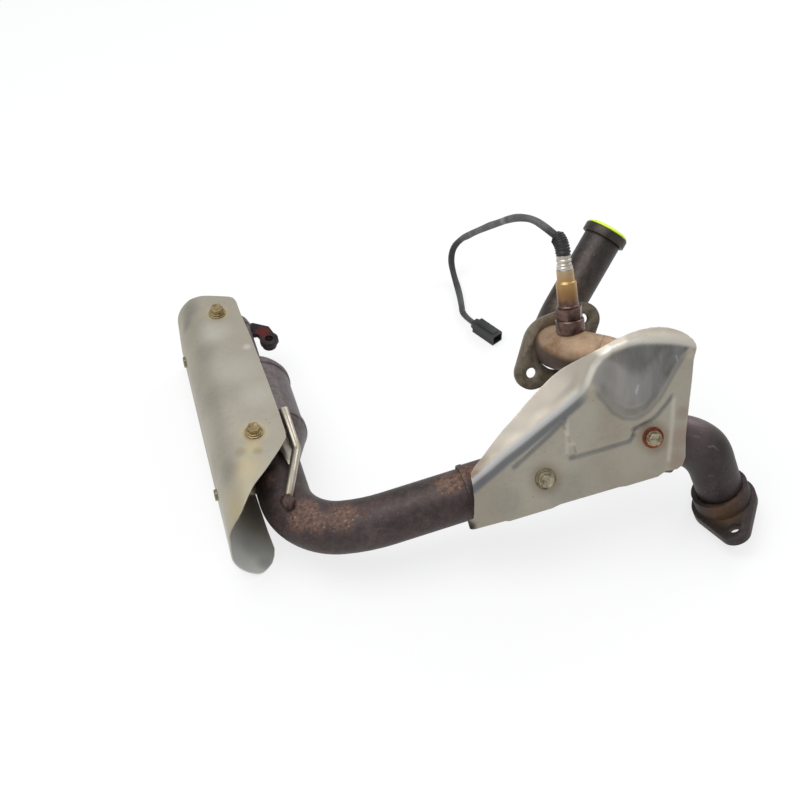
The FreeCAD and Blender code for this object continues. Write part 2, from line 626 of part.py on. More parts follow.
# Left heat shield: a rolled sheet, wider at its front, cut off on a slant
def c_section(x, left, right):
    """The sheet's section at one end, as a closed wire with bent corners."""
    top = size("shield_height") - elbow_corner.z
    floor = -elbow_corner.z
    wires = []
    for inset in (0, size("sheet")):
        corners = [Vector(x, top - inset, right), Vector(x, top - inset, -left + inset),
                   Vector(x, floor + inset, -left + inset), Vector(x, floor + inset, -size("left_floor"))]
        bends = [size("left_top_bend") - inset, size("left_floor_bend") - inset]
        wires.append(rounded_route(corners, bends))
    outer, inner = wires
    ends = [(outer.OrderedVertexes[index].Point, inner.OrderedVertexes[index].Point) for index in (0, -1)]
    caps = [Part.LineSegment(first, second).toShape() for first, second in ends]
    return Part.Wire(Part.__sortEdges__(outer.Edges + inner.Edges + caps))


def block(points, lift, depth):
    """An upright block over a plan outline in the can's own axes, X along and Z across."""
    corners = [Vector(x, lift - elbow_corner.z, z) for x, z in points]
    face = Part.Face(Part.makePolygon(corners + corners[:1]))
    return face.extrude(Vector(0, depth, 0))


shield_back = size("left_shield_back")
shield_front = -size("left_shield_front")
left_form = Part.makeLoft([c_section(shield_back, size("left_side_back"), size("left_top_back")),
                           c_section(shield_front, size("left_side_front"), size("left_top_front"))],
                          True, True)
slant = block([(-15, 30), (-34.5, 13), (-92, -38), (-88, -80), (-140, -80), (-140, 30)], 24, 90)
sweep_profile = [Vector(-88, 24 - elbow_corner.z, -80), Vector(-119, 0.6 - elbow_corner.z, -80),
                 Vector(-140, 0.6 - elbow_corner.z, -80), Vector(-140, 24 - elbow_corner.z, -80)]
skirt = Part.Face(Part.makePolygon(sweep_profile + sweep_profile[:1])).extrude(Vector(0, 0, 110))
tail = block([(-121, -46), (-117.5, -34.5), (-107.5, -22.7), (-91.5, -16.5), (-91.5, 0), (-140, 0),
              (-140, -46)], -5, 20)
left_form = left_form.cut(slant).cut(skirt).cut(tail)
left_places = [size("left_bolt_back"), size("left_bolt_front")]
for place in left_places:
    foot = Vector(place, size("shield_height") - elbow_corner.z - 10, -size("left_bolt_side"))
    hole = Part.makeCylinder(size("screw_hole"), 20, foot, Vector(0, 1, 0))
    left_form = left_form.cut(hole)
side_places = [size("side_bolt_back"), size("side_bolt_front")]
side_reach = [size("left_side_front") + (size("left_side_back") - size("left_side_front"))
              * (place - shield_front) / (shield_back - shield_front) for place in side_places]
for place, reach in zip(side_places, side_reach):
    hole = Part.makeCylinder(size("screw_hole"), 20, Vector(place, 0, -reach - 10), Vector(0, 0, 1))
    left_form = left_form.cut(hole)
left_shield = solid_feature("left_shield", left_form)
left_shield.Placement = can_place


def screw(label, place, length):
    """A hexagon screw with a round flange under its head, pointing back along X."""
    body = new_body(label)
    flange_plan = new_sketch(body, "YZ_Plane", "flange_plan")
    circle(flange_plan, "head_flange_radius")
    pad(body, flange_plan, "head_flange_height", "flange")
    flats_plan = new_sketch(body, "YZ_Plane", "flats_plan")
    outline(flats_plan, [(x.replace("hex_", "screw_"), y.replace("hex_", "screw_")) for x, y in hexagon])
    pad(body, flats_plan, "head_height", "flats")
    shank_plan = new_sketch(body, "YZ_Plane", "shank_plan")
    circle(shank_plan, "screw_radius")
    pad(body, shank_plan, length, "shank", reverse=True)
    body.Placement = place


def washer(label, place):
    turned(label, place, [("-washer_height", "screw_hole"), ("-washer_height", "washer_radius"),
                          ("-fit", "washer_radius"), ("-fit", "screw_hole")])


def stand_off(label, place, foot, carrier):
    """A threaded bush that fills the gap under the sheet, shaped to what carries it."""
    bush = turned(label + "_bush", place, [
        ("0", "screw_radius + fit"), ("0", "boss_nut_radius"), (foot, "boss_nut_radius"),
        (foot, "screw_radius + fit")], kept=False)
    doc.recompute()
    rest = bush.Shape.cut(carrier)
    solid_feature(label, max(rest.Solids, key=lambda solid: solid.Volume))


can_outer = Part.makeCylinder(size("can_radius") + size("fit") / 2, size("can_length"), can_front, can_line)
inlet_outer = Part.makeCone(size("main_radius"), size("can_radius"), size("inlet_cone_length"),
                            can_front - can_line * size("inlet_cone_length"), can_line)
outlet_outer = Part.makeCone(size("can_radius"), size("outlet_radius"), size("outlet_cone_length"),
                             can_front + can_line * size("can_length"), can_line)
outlet_tube = Part.makeCylinder(size("outlet_radius") + size("fit") / 2, 70,
                                can_front + can_line * size("can_length"), can_line)
can_run = can_outer.multiFuse([inlet_outer, outlet_outer, outlet_tube, inlet_cone.Shape, outlet_cone.Shape])
for label, place in zip(("back", "front"), left_places):
    under = can_place.multVec(Vector(place, size("shield_height") - elbow_corner.z, -size("left_bolt_side")))
    up = Vector(0, 0, 1)
    head_seat = aim(under + up * (size("washer_height") + size("fit")), up, can_line)
    washer(f"left_shield_washer_{label}", head_seat)
    screw(f"left_shield_screw_{label}", head_seat, "washer_height + sheet + 8")
    stand_off(f"left_shield_bush_{label}", aim(under - up * (size("sheet") + size("fit")), up, can_line),
              "elbow_corner_z + sheet - shield_height", can_run)

left_out = can_place.Rotation.multVec(Vector(0, 0, -1))
main_tube = Part.makeCylinder(size("main_radius") + size("fit") / 2, 90,
                              can_front - can_line * (size("inlet_cone_length") + 60), can_line)
for label, place, reach in zip(("back", "front"), side_places, side_reach):
    wall = can_place.multVec(Vector(place, 0, -reach))
    screw(f"left_shield_screw_side_{label}", aim(wall + left_out * size("fit") * 1.5, left_out, can_line),
          "sheet + fit + 8")
    stand_off(f"left_shield_bush_side_{label}",
              aim(wall - left_out * (size("sheet") + size("fit") * 1.5), left_out, can_line),
              "sheet - left_side_back", can_run.fuse(main_tube))

# Hanger bracket on the outlet, with its captive nut
eye_centre = Vector(size("eye_place"), 0, size("eye_side"))
upper_arm = block([(136, 43), (158, 37.5), (168, 23), (168, 10), (152, 10), (150, 23.5), (143, 26)], 0, 1)
lower_arm = block([(131, 30.5), (121, 17), (121, 10), (130, 10), (130, 19), (137, 25.5)], 0, 1)
plate_foot = size("bracket_height") - size("bracket_plate") / 2
eye_foot = eye_centre - Vector(0, elbow_corner.z, 0)
bracket_form = Part.makeCylinder(size("eye_radius"), 1, eye_foot, Vector(0, 1, 0))
bracket_form = bracket_form.fuse(upper_arm).fuse(lower_arm)
stretch = FreeCAD.Matrix()
stretch.scale(1, size("bracket_plate"), 1)
bracket_form = bracket_form.transformGeometry(stretch)
bracket_form.translate(Vector(0, plate_foot - elbow_corner.z + elbow_corner.z * size("bracket_plate"), 0))
eye = Part.makeCylinder(size("eye_hole"), 40, eye_centre - Vector(0, 20, 0), Vector(0, 1, 0))
bracket_form = bracket_form.cut(eye)
bracket_form.Placement = can_place.multiply(bracket_form.Placement)
bracket_form = bracket_form.cut(can_run)
solid_feature("hanger_bracket", max(bracket_form.Solids, key=lambda solid: solid.Volume))
nut_seat = can_place.multVec(eye_centre) + Vector(0, 0, plate_foot - elbow_corner.z - size("fit"))
turned("hanger_nut", aim(nut_seat, Vector(0, 0, -1), can_line), [
    ("0", "eye_hole - 0.3"), ("0", "hanger_nut_radius"), ("hanger_nut_height - 1", "hanger_nut_radius"),
    ("hanger_nut_height", "hanger_nut_radius - 1"), ("hanger_nut_height", "eye_hole - 0.3")])

# Rod stay from the can's front seam over the cone to the elbow, and its gusset
stay_points = [can_place.multVec(Vector(x, up - elbow_corner.z, side)) for x, side, up in
               ((-2, 18.2, 91.1), (-43.9, 20.1, 78), (-104, -2.8, 77.8))]
stay_shape, _ = swept(stay_points, [size("stay_bend")], size("stay_radius"))
stay_rest = stay_shape.cut(main_pipe.Shape).cut(inlet_cone.Shape)
solid_feature("rod_stay", max(stay_rest.Solids, key=lambda solid: solid.Volume))
gusset_outline = [(-10, 8), (-10, 17), (-42, 18), (-62, 10), (-61, 8.5), (-38, 4.6)]
gusset_form = block(gusset_outline, 76.2, size("gusset_plate"))
gusset_form.Placement = can_place
gusset_form = gusset_form.cut(can_run).cut(stay_shape)
solid_feature("stay_gusset", max(gusset_form.Solids, key=lambda solid: solid.Volume))

# Right heat shield: a flat panel with a folded flank along its top and a pressed dome
level = Vector(main_line.y, -main_line.x, 0).normalize()
climb = (Vector(0, 0, 1) - main_line * main_line.z).normalize()
tilt = math.radians(size("shield_tilt"))
panel_out = level * math.cos(tilt) + climb * math.sin(tilt)
panel_place = aim(elbow_corner + main_line * size("shield_start"), main_line, panel_out.cross(main_line))
RIM = [(-2, -21), (26, -22), (81, -24), (138, -25), (174, -27), (179, -24), (196, -23), (204, 2),
       (213, 30), (227, 71), (231, 82), (227, 93), (216, 103), (200, 110), (177, 113), (159, 112),
       (143, 108), (124, 102), (101, 90), (74, 74), (49, 59), (21, 44), (7.8, 35), (8.4, 20.5)]
RIDGE = [(8.4, 21), (124, 79)]
BEADS = [((47, 25.2), (101.7, 53.2)), ((98.7, 17.2), (153.3, 15)), ((159.5, 25.6), (201, 44.7))]


def panel_form(sink):
    """The pressed form of the panel, lowered all over by a sink."""
    top = size("shield_gap") - sink
    base = Part.makeBox(340, 260, 100, Vector(-60, -110, top - 100))
    fold = Vector(RIDGE[1][0] - RIDGE[0][0], RIDGE[1][1] - RIDGE[0][1], 0).normalize()
    beyond = Vector(-fold.y, fold.x, 0)
    angle = math.radians(size("flank_angle"))
    down = beyond * math.cos(angle) - Vector(0, 0, 1) * math.sin(angle)
    outward = fold.cross(down)
    origin = Vector(RIDGE[0][0], RIDGE[0][1], size("shield_gap")) - outward * sink
    wedge = Part.makeBox(700, 500, 300, Vector(-350, -250, -300))
    wedge.Placement = Placement(origin, Rotation(fold, down, outward, "ZXY"))
    form = base.common(wedge)
    dome = Part.makeSphere(1).transformGeometry(FreeCAD.Matrix(
        size("dome_length") - sink, 0, 0, size("dome_place"),
        0, size("dome_width") - sink, 0, size("dome_side"),
        0, 0, size("dome_height") - sink, size("dome_base"), 0, 0, 0, 1))
    form = form.fuse(dome)
    for (x0, y0), (x1, y1) in BEADS:
        start, end = Vector(x0, y0, top - 1.2), Vector(x1, y1, top - 1.2)
        bead = Part.makeCylinder(size("bead_radius"), (end - start).Length, start, end - start)
        form = form.fuse(bead.fuse(Part.makeSphere(size("bead_radius"), start)).fuse(
            Part.makeSphere(size("bead_radius"), end)))
    return form


rim_corners = [Vector(x, y, -10) for x, y in RIM]
trim = Part.Face(Part.makePolygon(rim_corners + rim_corners[:1])).extrude(Vector(0, 0, 90))
panel = trim.common(panel_form(0)).cut(panel_form(size("sheet")))
right_places = [(size("right_bolt_left"), size("right_bolt_left_side")),
                (size("right_bolt_right"), size("right_bolt_right_side"))]
for x, y in right_places:
    panel = panel.cut(Part.makeCylinder(size("screw_hole"), 20, Vector(x, y, size("shield_gap") - 10)))
right_shield = solid_feature("right_shield", max(panel.Solids, key=lambda solid: solid.Volume))
right_shield.Placement = panel_place
main_outer = Part.makeCylinder(size("main_radius") + size("fit") / 2, 260,
                               elbow_corner + main_line * 100, main_line)
collector_outer = collector_form(size("fit") / 2)
for label, (x, y), carrier in zip(("left", "right"), right_places, (main_outer, collector_outer)):
    seat = panel_place.multVec(Vector(x, y, size("shield_gap")))
    head_seat = aim(seat + panel_out * (size("washer_height") + size("fit")), panel_out, main_line)
    washer(f"right_shield_washer_{label}", head_seat)
    screw(f"right_shield_screw_{label}", head_seat, "washer_height + sheet + 9")
    stand_off(f"right_shield_bush_{label}", aim(seat - panel_out * (size("sheet") + size("fit")), panel_out,
                                                main_line), "sheet - shield_gap", carrier)

doc.recompute()
for item in doc.Objects:
    if "Invalid" in item.State or "Error" in item.State:
        raise ValueError(f"{item.Label} failed: {item.State}")
for piece in PIECES:
    shape = piece.Shape
    if shape.isNull() or not shape.isValid() or not shape.Solids:
        raise ValueError(f"{piece.Label} has no valid solid")
    shape.exportStep(f"parts/{piece.Label}.step")
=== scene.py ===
import bmesh
import bpy
import math
from bpy.props import FloatProperty, FloatVectorProperty, PointerProperty
from mathutils import Matrix, Vector


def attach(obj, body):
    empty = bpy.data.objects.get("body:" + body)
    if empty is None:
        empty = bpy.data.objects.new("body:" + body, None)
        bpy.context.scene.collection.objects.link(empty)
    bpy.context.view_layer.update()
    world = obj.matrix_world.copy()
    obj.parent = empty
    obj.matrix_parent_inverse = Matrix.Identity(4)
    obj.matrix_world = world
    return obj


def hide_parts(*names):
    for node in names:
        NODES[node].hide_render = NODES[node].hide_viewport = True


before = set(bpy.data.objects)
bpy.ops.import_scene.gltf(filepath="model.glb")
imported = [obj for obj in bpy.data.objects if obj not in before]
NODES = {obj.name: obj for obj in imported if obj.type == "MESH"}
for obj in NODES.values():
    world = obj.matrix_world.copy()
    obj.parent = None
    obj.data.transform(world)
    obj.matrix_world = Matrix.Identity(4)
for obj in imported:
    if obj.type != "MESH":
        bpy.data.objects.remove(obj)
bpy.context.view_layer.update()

bl_info = {
    "name": "Exhaust system",
    "version": (1, 0, 0),
    "blender": (4, 5, 0),
    "location": "View3D > Sidebar > Exhaust",
    "description": "Dresses an exhaust system with its heat shields, headers and oxygen sensor",
    "category": "Object",
}

MM = 0.001


# Sizes and directions of the run

def point(x, y, z):
    return Vector((x, y, z)) * MM


ELBOW = point(-145.12, -145.15, 50)
COLLECTOR = point(149.08, -59.45, 92.7)
REAR_CORNER = point(226.98, -57.05, 83.6)
REAR_PORT = point(256.58, -64.85, 12.27)
BRANCH_CORNER = point(154.68, -37.65, 174)
SENSOR_CORNER = point(92.68, -23.15, 177.5)
FRONT_CORNER = point(81.88, 47.05, 122.2)
FRONT_PORT = point(142.88, 120.25, 198.5)
HEADING = math.radians(16.44)
CAN_LINE = Vector((-math.sin(HEADING), math.cos(HEADING), 0))
CAN_GAP = 135.4
INLET = 32
COLLECTOR_GAP = 176
PIPE_OVERLAP = 25
ELBOW_BEND = 58
EASING_BEND = 150
AROUND = 72
PIPE_WALL = 0.0016
SHELL_WALL = 0.0014
CAN_FRONT = ELBOW + CAN_LINE * CAN_GAP * MM
MAIN_LINE = (COLLECTOR - ELBOW).normalized()


def metres(name, text, default):
    return FloatProperty(name=name, description=text, default=default, min=0, unit="LENGTH", precision=4)


def tint(name, text, red, green, blue):
    """A colour property whose default is given as the screen shows it, from 0 to 255."""
    return FloatVectorProperty(name=name, description=text, subtype="COLOR", size=3, min=0, max=1,
                               default=screen(red, green, blue))


def linear(part):
    part = part / 255
    return part / 12.92 if part <= 0.04045 else ((part + 0.055) / 1.055) ** 2.4


def screen(*parts):
    """A colour for the shaders, given as the screen shows it, from 0 to 255."""
    return [linear(part) for part in parts]


class ExhaustSizes(bpy.types.PropertyGroup):
    main_radius: metres("Main pipe radius", "Outer radius of the long pipe", 0.0243)
    elbow_radius: metres("Elbow bend", "Bend radius of the main pipe at the can", 0.058)
    easing_radius: metres("Easing bend", "Bend radius where the elbow runs out", 0.150)
    sheet: metres("Sheet", "Thickness of the heat shields", 0.0012)
    lead_radius: metres("Lead radius", "Radius of the sensor lead", 0.0035)


class ExhaustColours(bpy.types.PropertyGroup):
    left_sheet: tint("Left shield", "Dull stainless sheet", 170, 164, 150)
    right_sheet: tint("Right shield", "Stainless sheet", 174, 167, 153)
    # The dome colour is a painted dark reflection on the polished pressing.
    dome: tint("Dome", "Polished pressing", 90, 91, 92)
    pipe: tint("Pipe", "Heat tinted pipe", 74, 64, 61)
    header: tint("Header", "Heat tinted header", 56, 50, 46)
    rust: tint("Rust", "Rust specks and stains", 116, 62, 36)
    tan: tint("Tan", "Straw coloured heat tint", 160, 134, 108)
    plug: tint("Plug", "Yellow transport plug", 214, 236, 40)
    rubber: tint("Rubber", "Boot and connector", 26, 26, 27)


def sizes():
    return bpy.context.scene.exhaust_sizes


def colours():
    return bpy.context.scene.exhaust_colours


# Shader maths

class Link:
    """A shader socket that takes part in Python expressions."""

    def __init__(self, recipe, socket):
        self.recipe = recipe
        self.socket = socket

    def maths(self, operation, *others):
        values = {index: other for index, other in enumerate((self,) + others)}
        return self.recipe.node("ShaderNodeMath", {"operation": operation}, values)

    def __add__(self, other):
        return self.maths("ADD", other)

    def __sub__(self, other):
        return self.maths("SUBTRACT", other)

    def __mul__(self, other):
        return self.maths("MULTIPLY", other)

    def __rsub__(self, other):
        return self.recipe.node("ShaderNodeMath", {"operation": "SUBTRACT"}, {0: other, 1: self})

    __radd__ = __add__
    __rmul__ = __mul__

    def between(self, low, high):
        """0 below low, 1 above high, and smooth from one to the other."""
        return self.recipe.node("ShaderNodeMapRange", {"interpolation_type": "SMOOTHSTEP"},
                                {"Value": self, "From Min": low, "From Max": high}, "Result")


class Recipe:
    """One material and the nodes it is made of."""

    def __init__(self, name):
        self.material = bpy.data.materials.new(name)
        self.material.use_nodes = True
        self.tree = self.material.node_tree
        self.tree.nodes.clear()
        self.place = self.node("ShaderNodeTexCoord", {}, {}, "Object")

    def node(self, kind, settings, values, result=0):
        made = self.tree.nodes.new(kind)
        for key, value in settings.items():
            setattr(made, key, value)
        for key, value in values.items():
            socket = made.inputs[key]
            if isinstance(value, Link):
                self.tree.links.new(value.socket, socket)
            elif socket.type == "RGBA":
                socket.default_value = (*tuple(value)[:3], 1)
            else:
                socket.default_value = value
        return Link(self, made.outputs[result])

    def stretched(self, scale, turn=(0, 0, 0)):
        return self.node("ShaderNodeMapping", {}, {"Vector": self.place, "Scale": scale, "Rotation": turn})

    def noise(self, scale, detail=5.0, rough=0.55, place=None, warp=0.0):
        return self.node("ShaderNodeTexNoise", {}, {
            "Vector": place or self.place, "Scale": scale, "Detail": detail, "Roughness": rough,
            "Distortion": warp}, "Fac")

    def specks(self, scale, size):
        """Small round marks, 1 in their middle and 0 away from them."""
        cells = self.node("ShaderNodeTexVoronoi", {}, {
            "Vector": self.place, "Scale": scale, "Randomness": 1.0}, "Distance")
        return 1 - cells.between(size * 0.4, size)

    def mixed(self, factor, first, second):
        return self.node("ShaderNodeMix", {"data_type": "RGBA", "clamp_factor": True},
                         {0: factor, 6: first, 7: second}, 2)

    def attribute(self, name):
        return self.node("ShaderNodeAttribute", {"attribute_name": name}, {}, "Fac")

    def near(self, spot, inner, outer):
        """1 round a spot, and smoothly 0 further away from it."""
        away = self.node("ShaderNodeVectorMath", {"operation": "DISTANCE"}, {0: self.place, 1: spot}, "Value")
        return 1 - away.between(inner, outer)

    def along(self, start, line):
        """How far a place lies along a line, in metres."""
        apart = self.node("ShaderNodeVectorMath", {"operation": "SUBTRACT"}, {0: self.place, 1: start})
        return self.node("ShaderNodeVectorMath", {"operation": "DOT_PRODUCT"}, {0: apart, 1: line}, "Value")

    def blotched(self, tone, spots, scale, floor, swing):
        """Uneven blotches of other colours round the given spots."""
        for spot, inner, outer, colour, share in spots:
            mask = self.near(spot, inner, outer) * (floor + self.noise(scale, 5, 0.7) * swing)
            tone = self.mixed(mask * share, tone, screen(*colour))
        return tone

    def finished(self, base, roughness, metallic, bump, strength, depth):
        values = {"Base Color": base, "Roughness": roughness, "Metallic": metallic}
        values["Normal"] = self.node("ShaderNodeBump", {}, {
            "Strength": strength, "Distance": depth, "Height": bump}, "Normal")
        shader = self.node("ShaderNodeBsdfPrincipled", {}, values, "BSDF")
        self.node_output(shader)
        return self.material

    def node_output(self, shader):
        output = self.tree.nodes.new("ShaderNodeOutputMaterial")
        self.tree.links.new(shader.socket, output.inputs["Surface"])


def heat_tinted_pipe(made, base, rust_amount, purple=0.35, light=0.25):
    """Dark oxide with purple and blue drifts, pitted and specked with rust."""
    drift = made.noise(9, 3, 0.5).between(0.38, 0.66)
    fine = made.noise(160, 6, 0.7)
    tone = made.mixed(fine.between(0.32, 0.68), [part * 0.62 for part in base], [part * 1.12 for part in base])
    tone = made.mixed(drift * purple, tone, (0.105, 0.078, 0.09))
    worn = made.noise(38, 6, 0.7).between(0.54, 0.76)
    tone = made.mixed(worn * light, tone, (0.21, 0.17, 0.145))
    blotch = made.noise(26, 7, 0.72, warp=0.4).between(0.60 - 0.14 * rust_amount, 0.76 - 0.1 * rust_amount)
    grain = made.noise(420, 4, 0.7).between(0.44, 0.62)
    rust = blotch * grain * min(1.0, 0.45 + rust_amount * 0.4)
    specks = made.specks(300, 0.20) * made.noise(30, 3).between(0.42, 0.62) * (0.35 + rust_amount * 0.3)
    tone = made.mixed(rust, tone, colours().rust)
    tone = made.mixed(specks, tone, (0.34, 0.21, 0.13))
    pits = fine * 0.6 + made.noise(700, 3) * 0.25 + blotch * grain * 0.5
    rough = 0.44 + drift * 0.08 + rust * 0.35 + fine * 0.12
    return tone, rough, 0.7 - rust * 0.5, pits


def scaled(made, tone, spots):
    """Crusty rust with light flakes round the given spots, each with a radius in metres."""
    grain = made.noise(300, 6, 0.75).between(0.40, 0.60)
    flakes = made.specks(210, 0.28) * made.noise(90, 3).between(0.45, 0.62)
    crust = 0
    for spot, reach in spots:
        crust = made.near(spot, reach * 0.35, reach) + crust
    crust = crust.maths("MINIMUM", 1.0) * (0.55 + made.noise(45, 4, 0.7) * 0.6)
    tone = made.mixed(crust * 0.5, tone, (0.125, 0.082, 0.066))
    tone = made.mixed(crust * grain * 0.75, tone, (0.29, 0.165, 0.115))
    return made.mixed(crust * flakes * 0.9, tone, (0.45, 0.31, 0.23)), crust


def worn_sheet(made, base, stain):
    """Dull stainless sheet with scratches, stains, small dents and rusty specks."""
    cloud = made.noise(14, 5, 0.6).between(0.32, 0.7)
    fine = made.noise(240, 5, 0.65)
    tone = made.mixed(cloud * 0.6, [min(1.0, part * 1.08) for part in base], [part * 0.84 for part in base])
    tone = made.mixed(made.noise(6, 4, 0.6, warp=0.6).between(0.47, 0.68) * 0.45, tone, stain)
    tone = made.mixed(fine.between(0.5, 0.72) * 0.14, tone, [part * 0.6 for part in base])
    smudge = made.noise(24, 6, 0.75, made.stretched((1, 0.5, 1.6), (0.2, 0.1, 0.9)), 0.8).between(0.60, 0.72)
    tone = made.mixed(smudge * 0.30, tone, [part * 0.62 for part in base])
    scratch_a = made.noise(30, 3, 0.8, made.stretched((1, 14, 1), (0.3, 0.2, 0.7))).between(0.66, 0.74)
    scratch_b = made.noise(34, 3, 0.8, made.stretched((13, 1, 4), (0.5, 0.1, 0.4))).between(0.67, 0.75)
    tone = made.mixed((scratch_a + scratch_b) * 0.22, tone, [min(1, part * 1.5) for part in base])
    specks = made.specks(140, 0.13) * made.noise(18, 2).between(0.48, 0.64)
    tone = made.mixed(specks * 0.7, tone, (0.13, 0.10, 0.07))
    rough = 0.46 + cloud * 0.10 + fine * 0.10 - (scratch_a + scratch_b) * 0.1
    dents = made.noise(22, 3, 0.5) + fine * 0.10 - (scratch_a + scratch_b) * 0.12
    return tone, rough, dents, specks


# Pieces

def unselect():
    bpy.ops.object.select_all(action="DESELECT")


def only(item):
    unselect()
    item.select_set(True)
    bpy.context.view_layer.objects.active = item


def settled(item, name, nodes, material, angle=35):
    """Places a finished piece in the frame with its finish."""
    item.name = name
    item.data.name = name
    only(item)
    bpy.ops.object.transform_apply(location=True, rotation=True, scale=True)
    bpy.ops.object.shade_smooth_by_angle(angle=math.radians(angle))
    item.data.materials.clear()
    item.data.materials.append(material)
    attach(item, "root")
    if nodes:
        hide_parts(*nodes)
    return item


def dressed(node, material, edge, moved=None):
    """A copy of one CAD node with its doubles merged and its sharp edges eased."""
    source = NODES[node]
    item = source.copy()
    item.data = source.data.copy()
    for key in list(item.keys()):
        if key.startswith("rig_"):
            del item[key]
    item.parent = None
    bpy.context.scene.collection.objects.link(item)
    only(item)
    bpy.ops.object.mode_set(mode="EDIT")
    bpy.ops.mesh.select_all(action="SELECT")
    bpy.ops.mesh.remove_doubles(threshold=0.00001)
    bpy.ops.mesh.customdata_custom_splitnormals_clear()
    bpy.ops.mesh.dissolve_limited(angle_limit=math.radians(0.5))
    bpy.ops.object.mode_set(mode="OBJECT")
    if edge:
        ease = item.modifiers.new("Eased edges", "BEVEL")
        ease.width = edge
        ease.segments = 2
        ease.limit_method = "ANGLE"
        ease.angle_limit = math.radians(40)
        bpy.ops.object.modifier_apply(modifier=ease.name)
    if moved:
        item.data.transform(moved)
    return settled(item, node + "_dressed", [node], material)


def aim(start, along, side):
    """X runs along a direction and Y towards the side."""
    x = along.normalized()
    z = x.cross(side).normalized()
    y = z.cross(x)
    turn = Matrix((x, y, z)).transposed().to_4x4()
    return Matrix.Translation(start) @ turn


def bent_tube(place, radius, legs, bends):
    """A tube that leaves the placement along X and bends towards Y."""
    ring = place @ Matrix.Rotation(math.pi / 2, 4, "Y")
    unselect()
    bpy.ops.mesh.primitive_circle_add(vertices=AROUND, radius=radius, location=ring.to_translation(),
                                      rotation=ring.to_euler())
    item = bpy.context.object
    bpy.ops.object.transform_apply(location=True, rotation=True, scale=True)
    bpy.ops.object.mode_set(mode="EDIT")
    bpy.ops.mesh.select_all(action="SELECT")
    spot = place.to_translation()
    axis = place.to_3x3().col[2]
    along = Vector(place.to_3x3().col[0])
    for index, leg in enumerate(legs):
        pieces = max(1, round(leg / 0.006)) if leg else 0
        for _ in range(pieces):
            bpy.ops.mesh.extrude_region_move(TRANSFORM_OT_translate={"value": along * (leg / pieces)})
        spot = spot + along * leg
        if index < len(bends):
            bend, turn = bends[index]
            side = axis.cross(along)
            centre = spot + side * bend
            steps = max(4, round(math.degrees(turn) / 4))
            bpy.ops.mesh.spin(steps=steps, angle=turn, center=centre, axis=-axis)
            turned = Matrix.Rotation(turn, 3, axis)
            spot = centre + turned @ (spot - centre)
            along = turned @ along
    bpy.ops.mesh.select_all(action="SELECT")
    bpy.ops.mesh.normals_make_consistent(inside=False)
    bpy.ops.object.mode_set(mode="OBJECT")
    walls = item.modifiers.new("Wall", "SOLIDIFY")
    walls.thickness = PIPE_WALL
    walls.offset = -1
    walls.use_even_offset = True
    bpy.ops.object.modifier_apply(modifier=walls.name)
    return item


def lathed(place, profile):
    """A shell round the placement's X axis, through distances and radii in millimetres."""
    unselect()
    bpy.ops.mesh.primitive_circle_add(vertices=AROUND, radius=profile[0][1] * MM,
                                      location=(0, 0, profile[0][0] * MM))
    item = bpy.context.object
    bpy.ops.object.transform_apply(location=True, rotation=True, scale=True)
    bpy.ops.object.mode_set(mode="EDIT")
    bpy.ops.mesh.select_all(action="SELECT")
    for (x0, r0), (x1, r1) in zip(profile, profile[1:]):
        bpy.ops.mesh.extrude_region_move(TRANSFORM_OT_translate={"value": (0, 0, (x1 - x0) * MM)})
        bpy.ops.transform.resize(value=(r1 / r0, r1 / r0, 1), center_override=(0, 0, x1 * MM))
    bpy.ops.mesh.select_all(action="SELECT")
    bpy.ops.mesh.normals_make_consistent(inside=False)
    bpy.ops.object.mode_set(mode="OBJECT")
    item.data.transform(place @ Matrix.Rotation(math.pi / 2, 4, "Y"))
    walls = item.modifiers.new("Wall", "SOLIDIFY")
    walls.thickness = SHELL_WALL
    walls.offset = -1
    bpy.ops.object.modifier_apply(modifier=walls.name)
    return item


def flat_pattern(low, high, step, corners):
    """A flat grid in X and Y trimmed to an outline, as sheet is cut before it is bent."""
    across, up = high[0] - low[0], high[1] - low[1]
    unselect()
    bpy.ops.mesh.primitive_grid_add(x_subdivisions=round(across / step), y_subdivisions=round(up / step), size=1,
                                    location=((low[0] + high[0]) / 2, (low[1] + high[1]) / 2, 0))
    item = bpy.context.object
    item.scale = (across, up, 1)
    bpy.ops.object.transform_apply(location=True, rotation=True, scale=True)
    bpy.ops.object.mode_set(mode="EDIT")
    for first, second in zip(corners, corners[1:] + corners[:1]):
        bpy.ops.mesh.select_all(action="SELECT")
        normal = Vector((second[1] - first[1], first[0] - second[0], 0)).normalized()
        bpy.ops.mesh.bisect(plane_co=(first[0], first[1], 0), plane_no=normal)
    shape = bmesh.from_edit_mesh(item.data)
    outside = [face for face in shape.faces if not inside(face.calc_center_median(), corners)]
    bmesh.ops.delete(shape, geom=outside, context="FACES")
    bmesh.ops.remove_doubles(shape, verts=shape.verts, dist=0.00002)
    bmesh.update_edit_mesh(item.data)
    bpy.ops.object.mode_set(mode="OBJECT")
    return item


def inside(spot, corners):
    """True where a spot lies within the outline."""
    crossings = 0
    for (x0, y0), (x1, y1) in zip(corners, corners[1:] + corners[:1]):
        if (y0 > spot.y) != (y1 > spot.y) and spot.x < (x1 - x0) * (spot.y - y0) / (y1 - y0) + x0:
            crossings += 1
    return crossings % 2 == 1


def smooth(value, low, high):
    part = max(0.0, min(1.0, (value - low) / (high - low)))
    return part * part * (3 - 2 * part)


def thickened(item, thickness, offset):
    only(item)
    walls = item.modifiers.new("Sheet", "SOLIDIFY")
    walls.thickness = thickness
    walls.offset = offset
    bpy.ops.object.modifier_apply(modifier=walls.name)
    ease = item.modifiers.new("Edges", "BEVEL")
    ease.width = 0.0003
    ease.segments = 2
    ease.angle_limit = math.radians(60)
    bpy.ops.object.modifier_apply(modifier=ease.name)
    return item


# Right heat shield

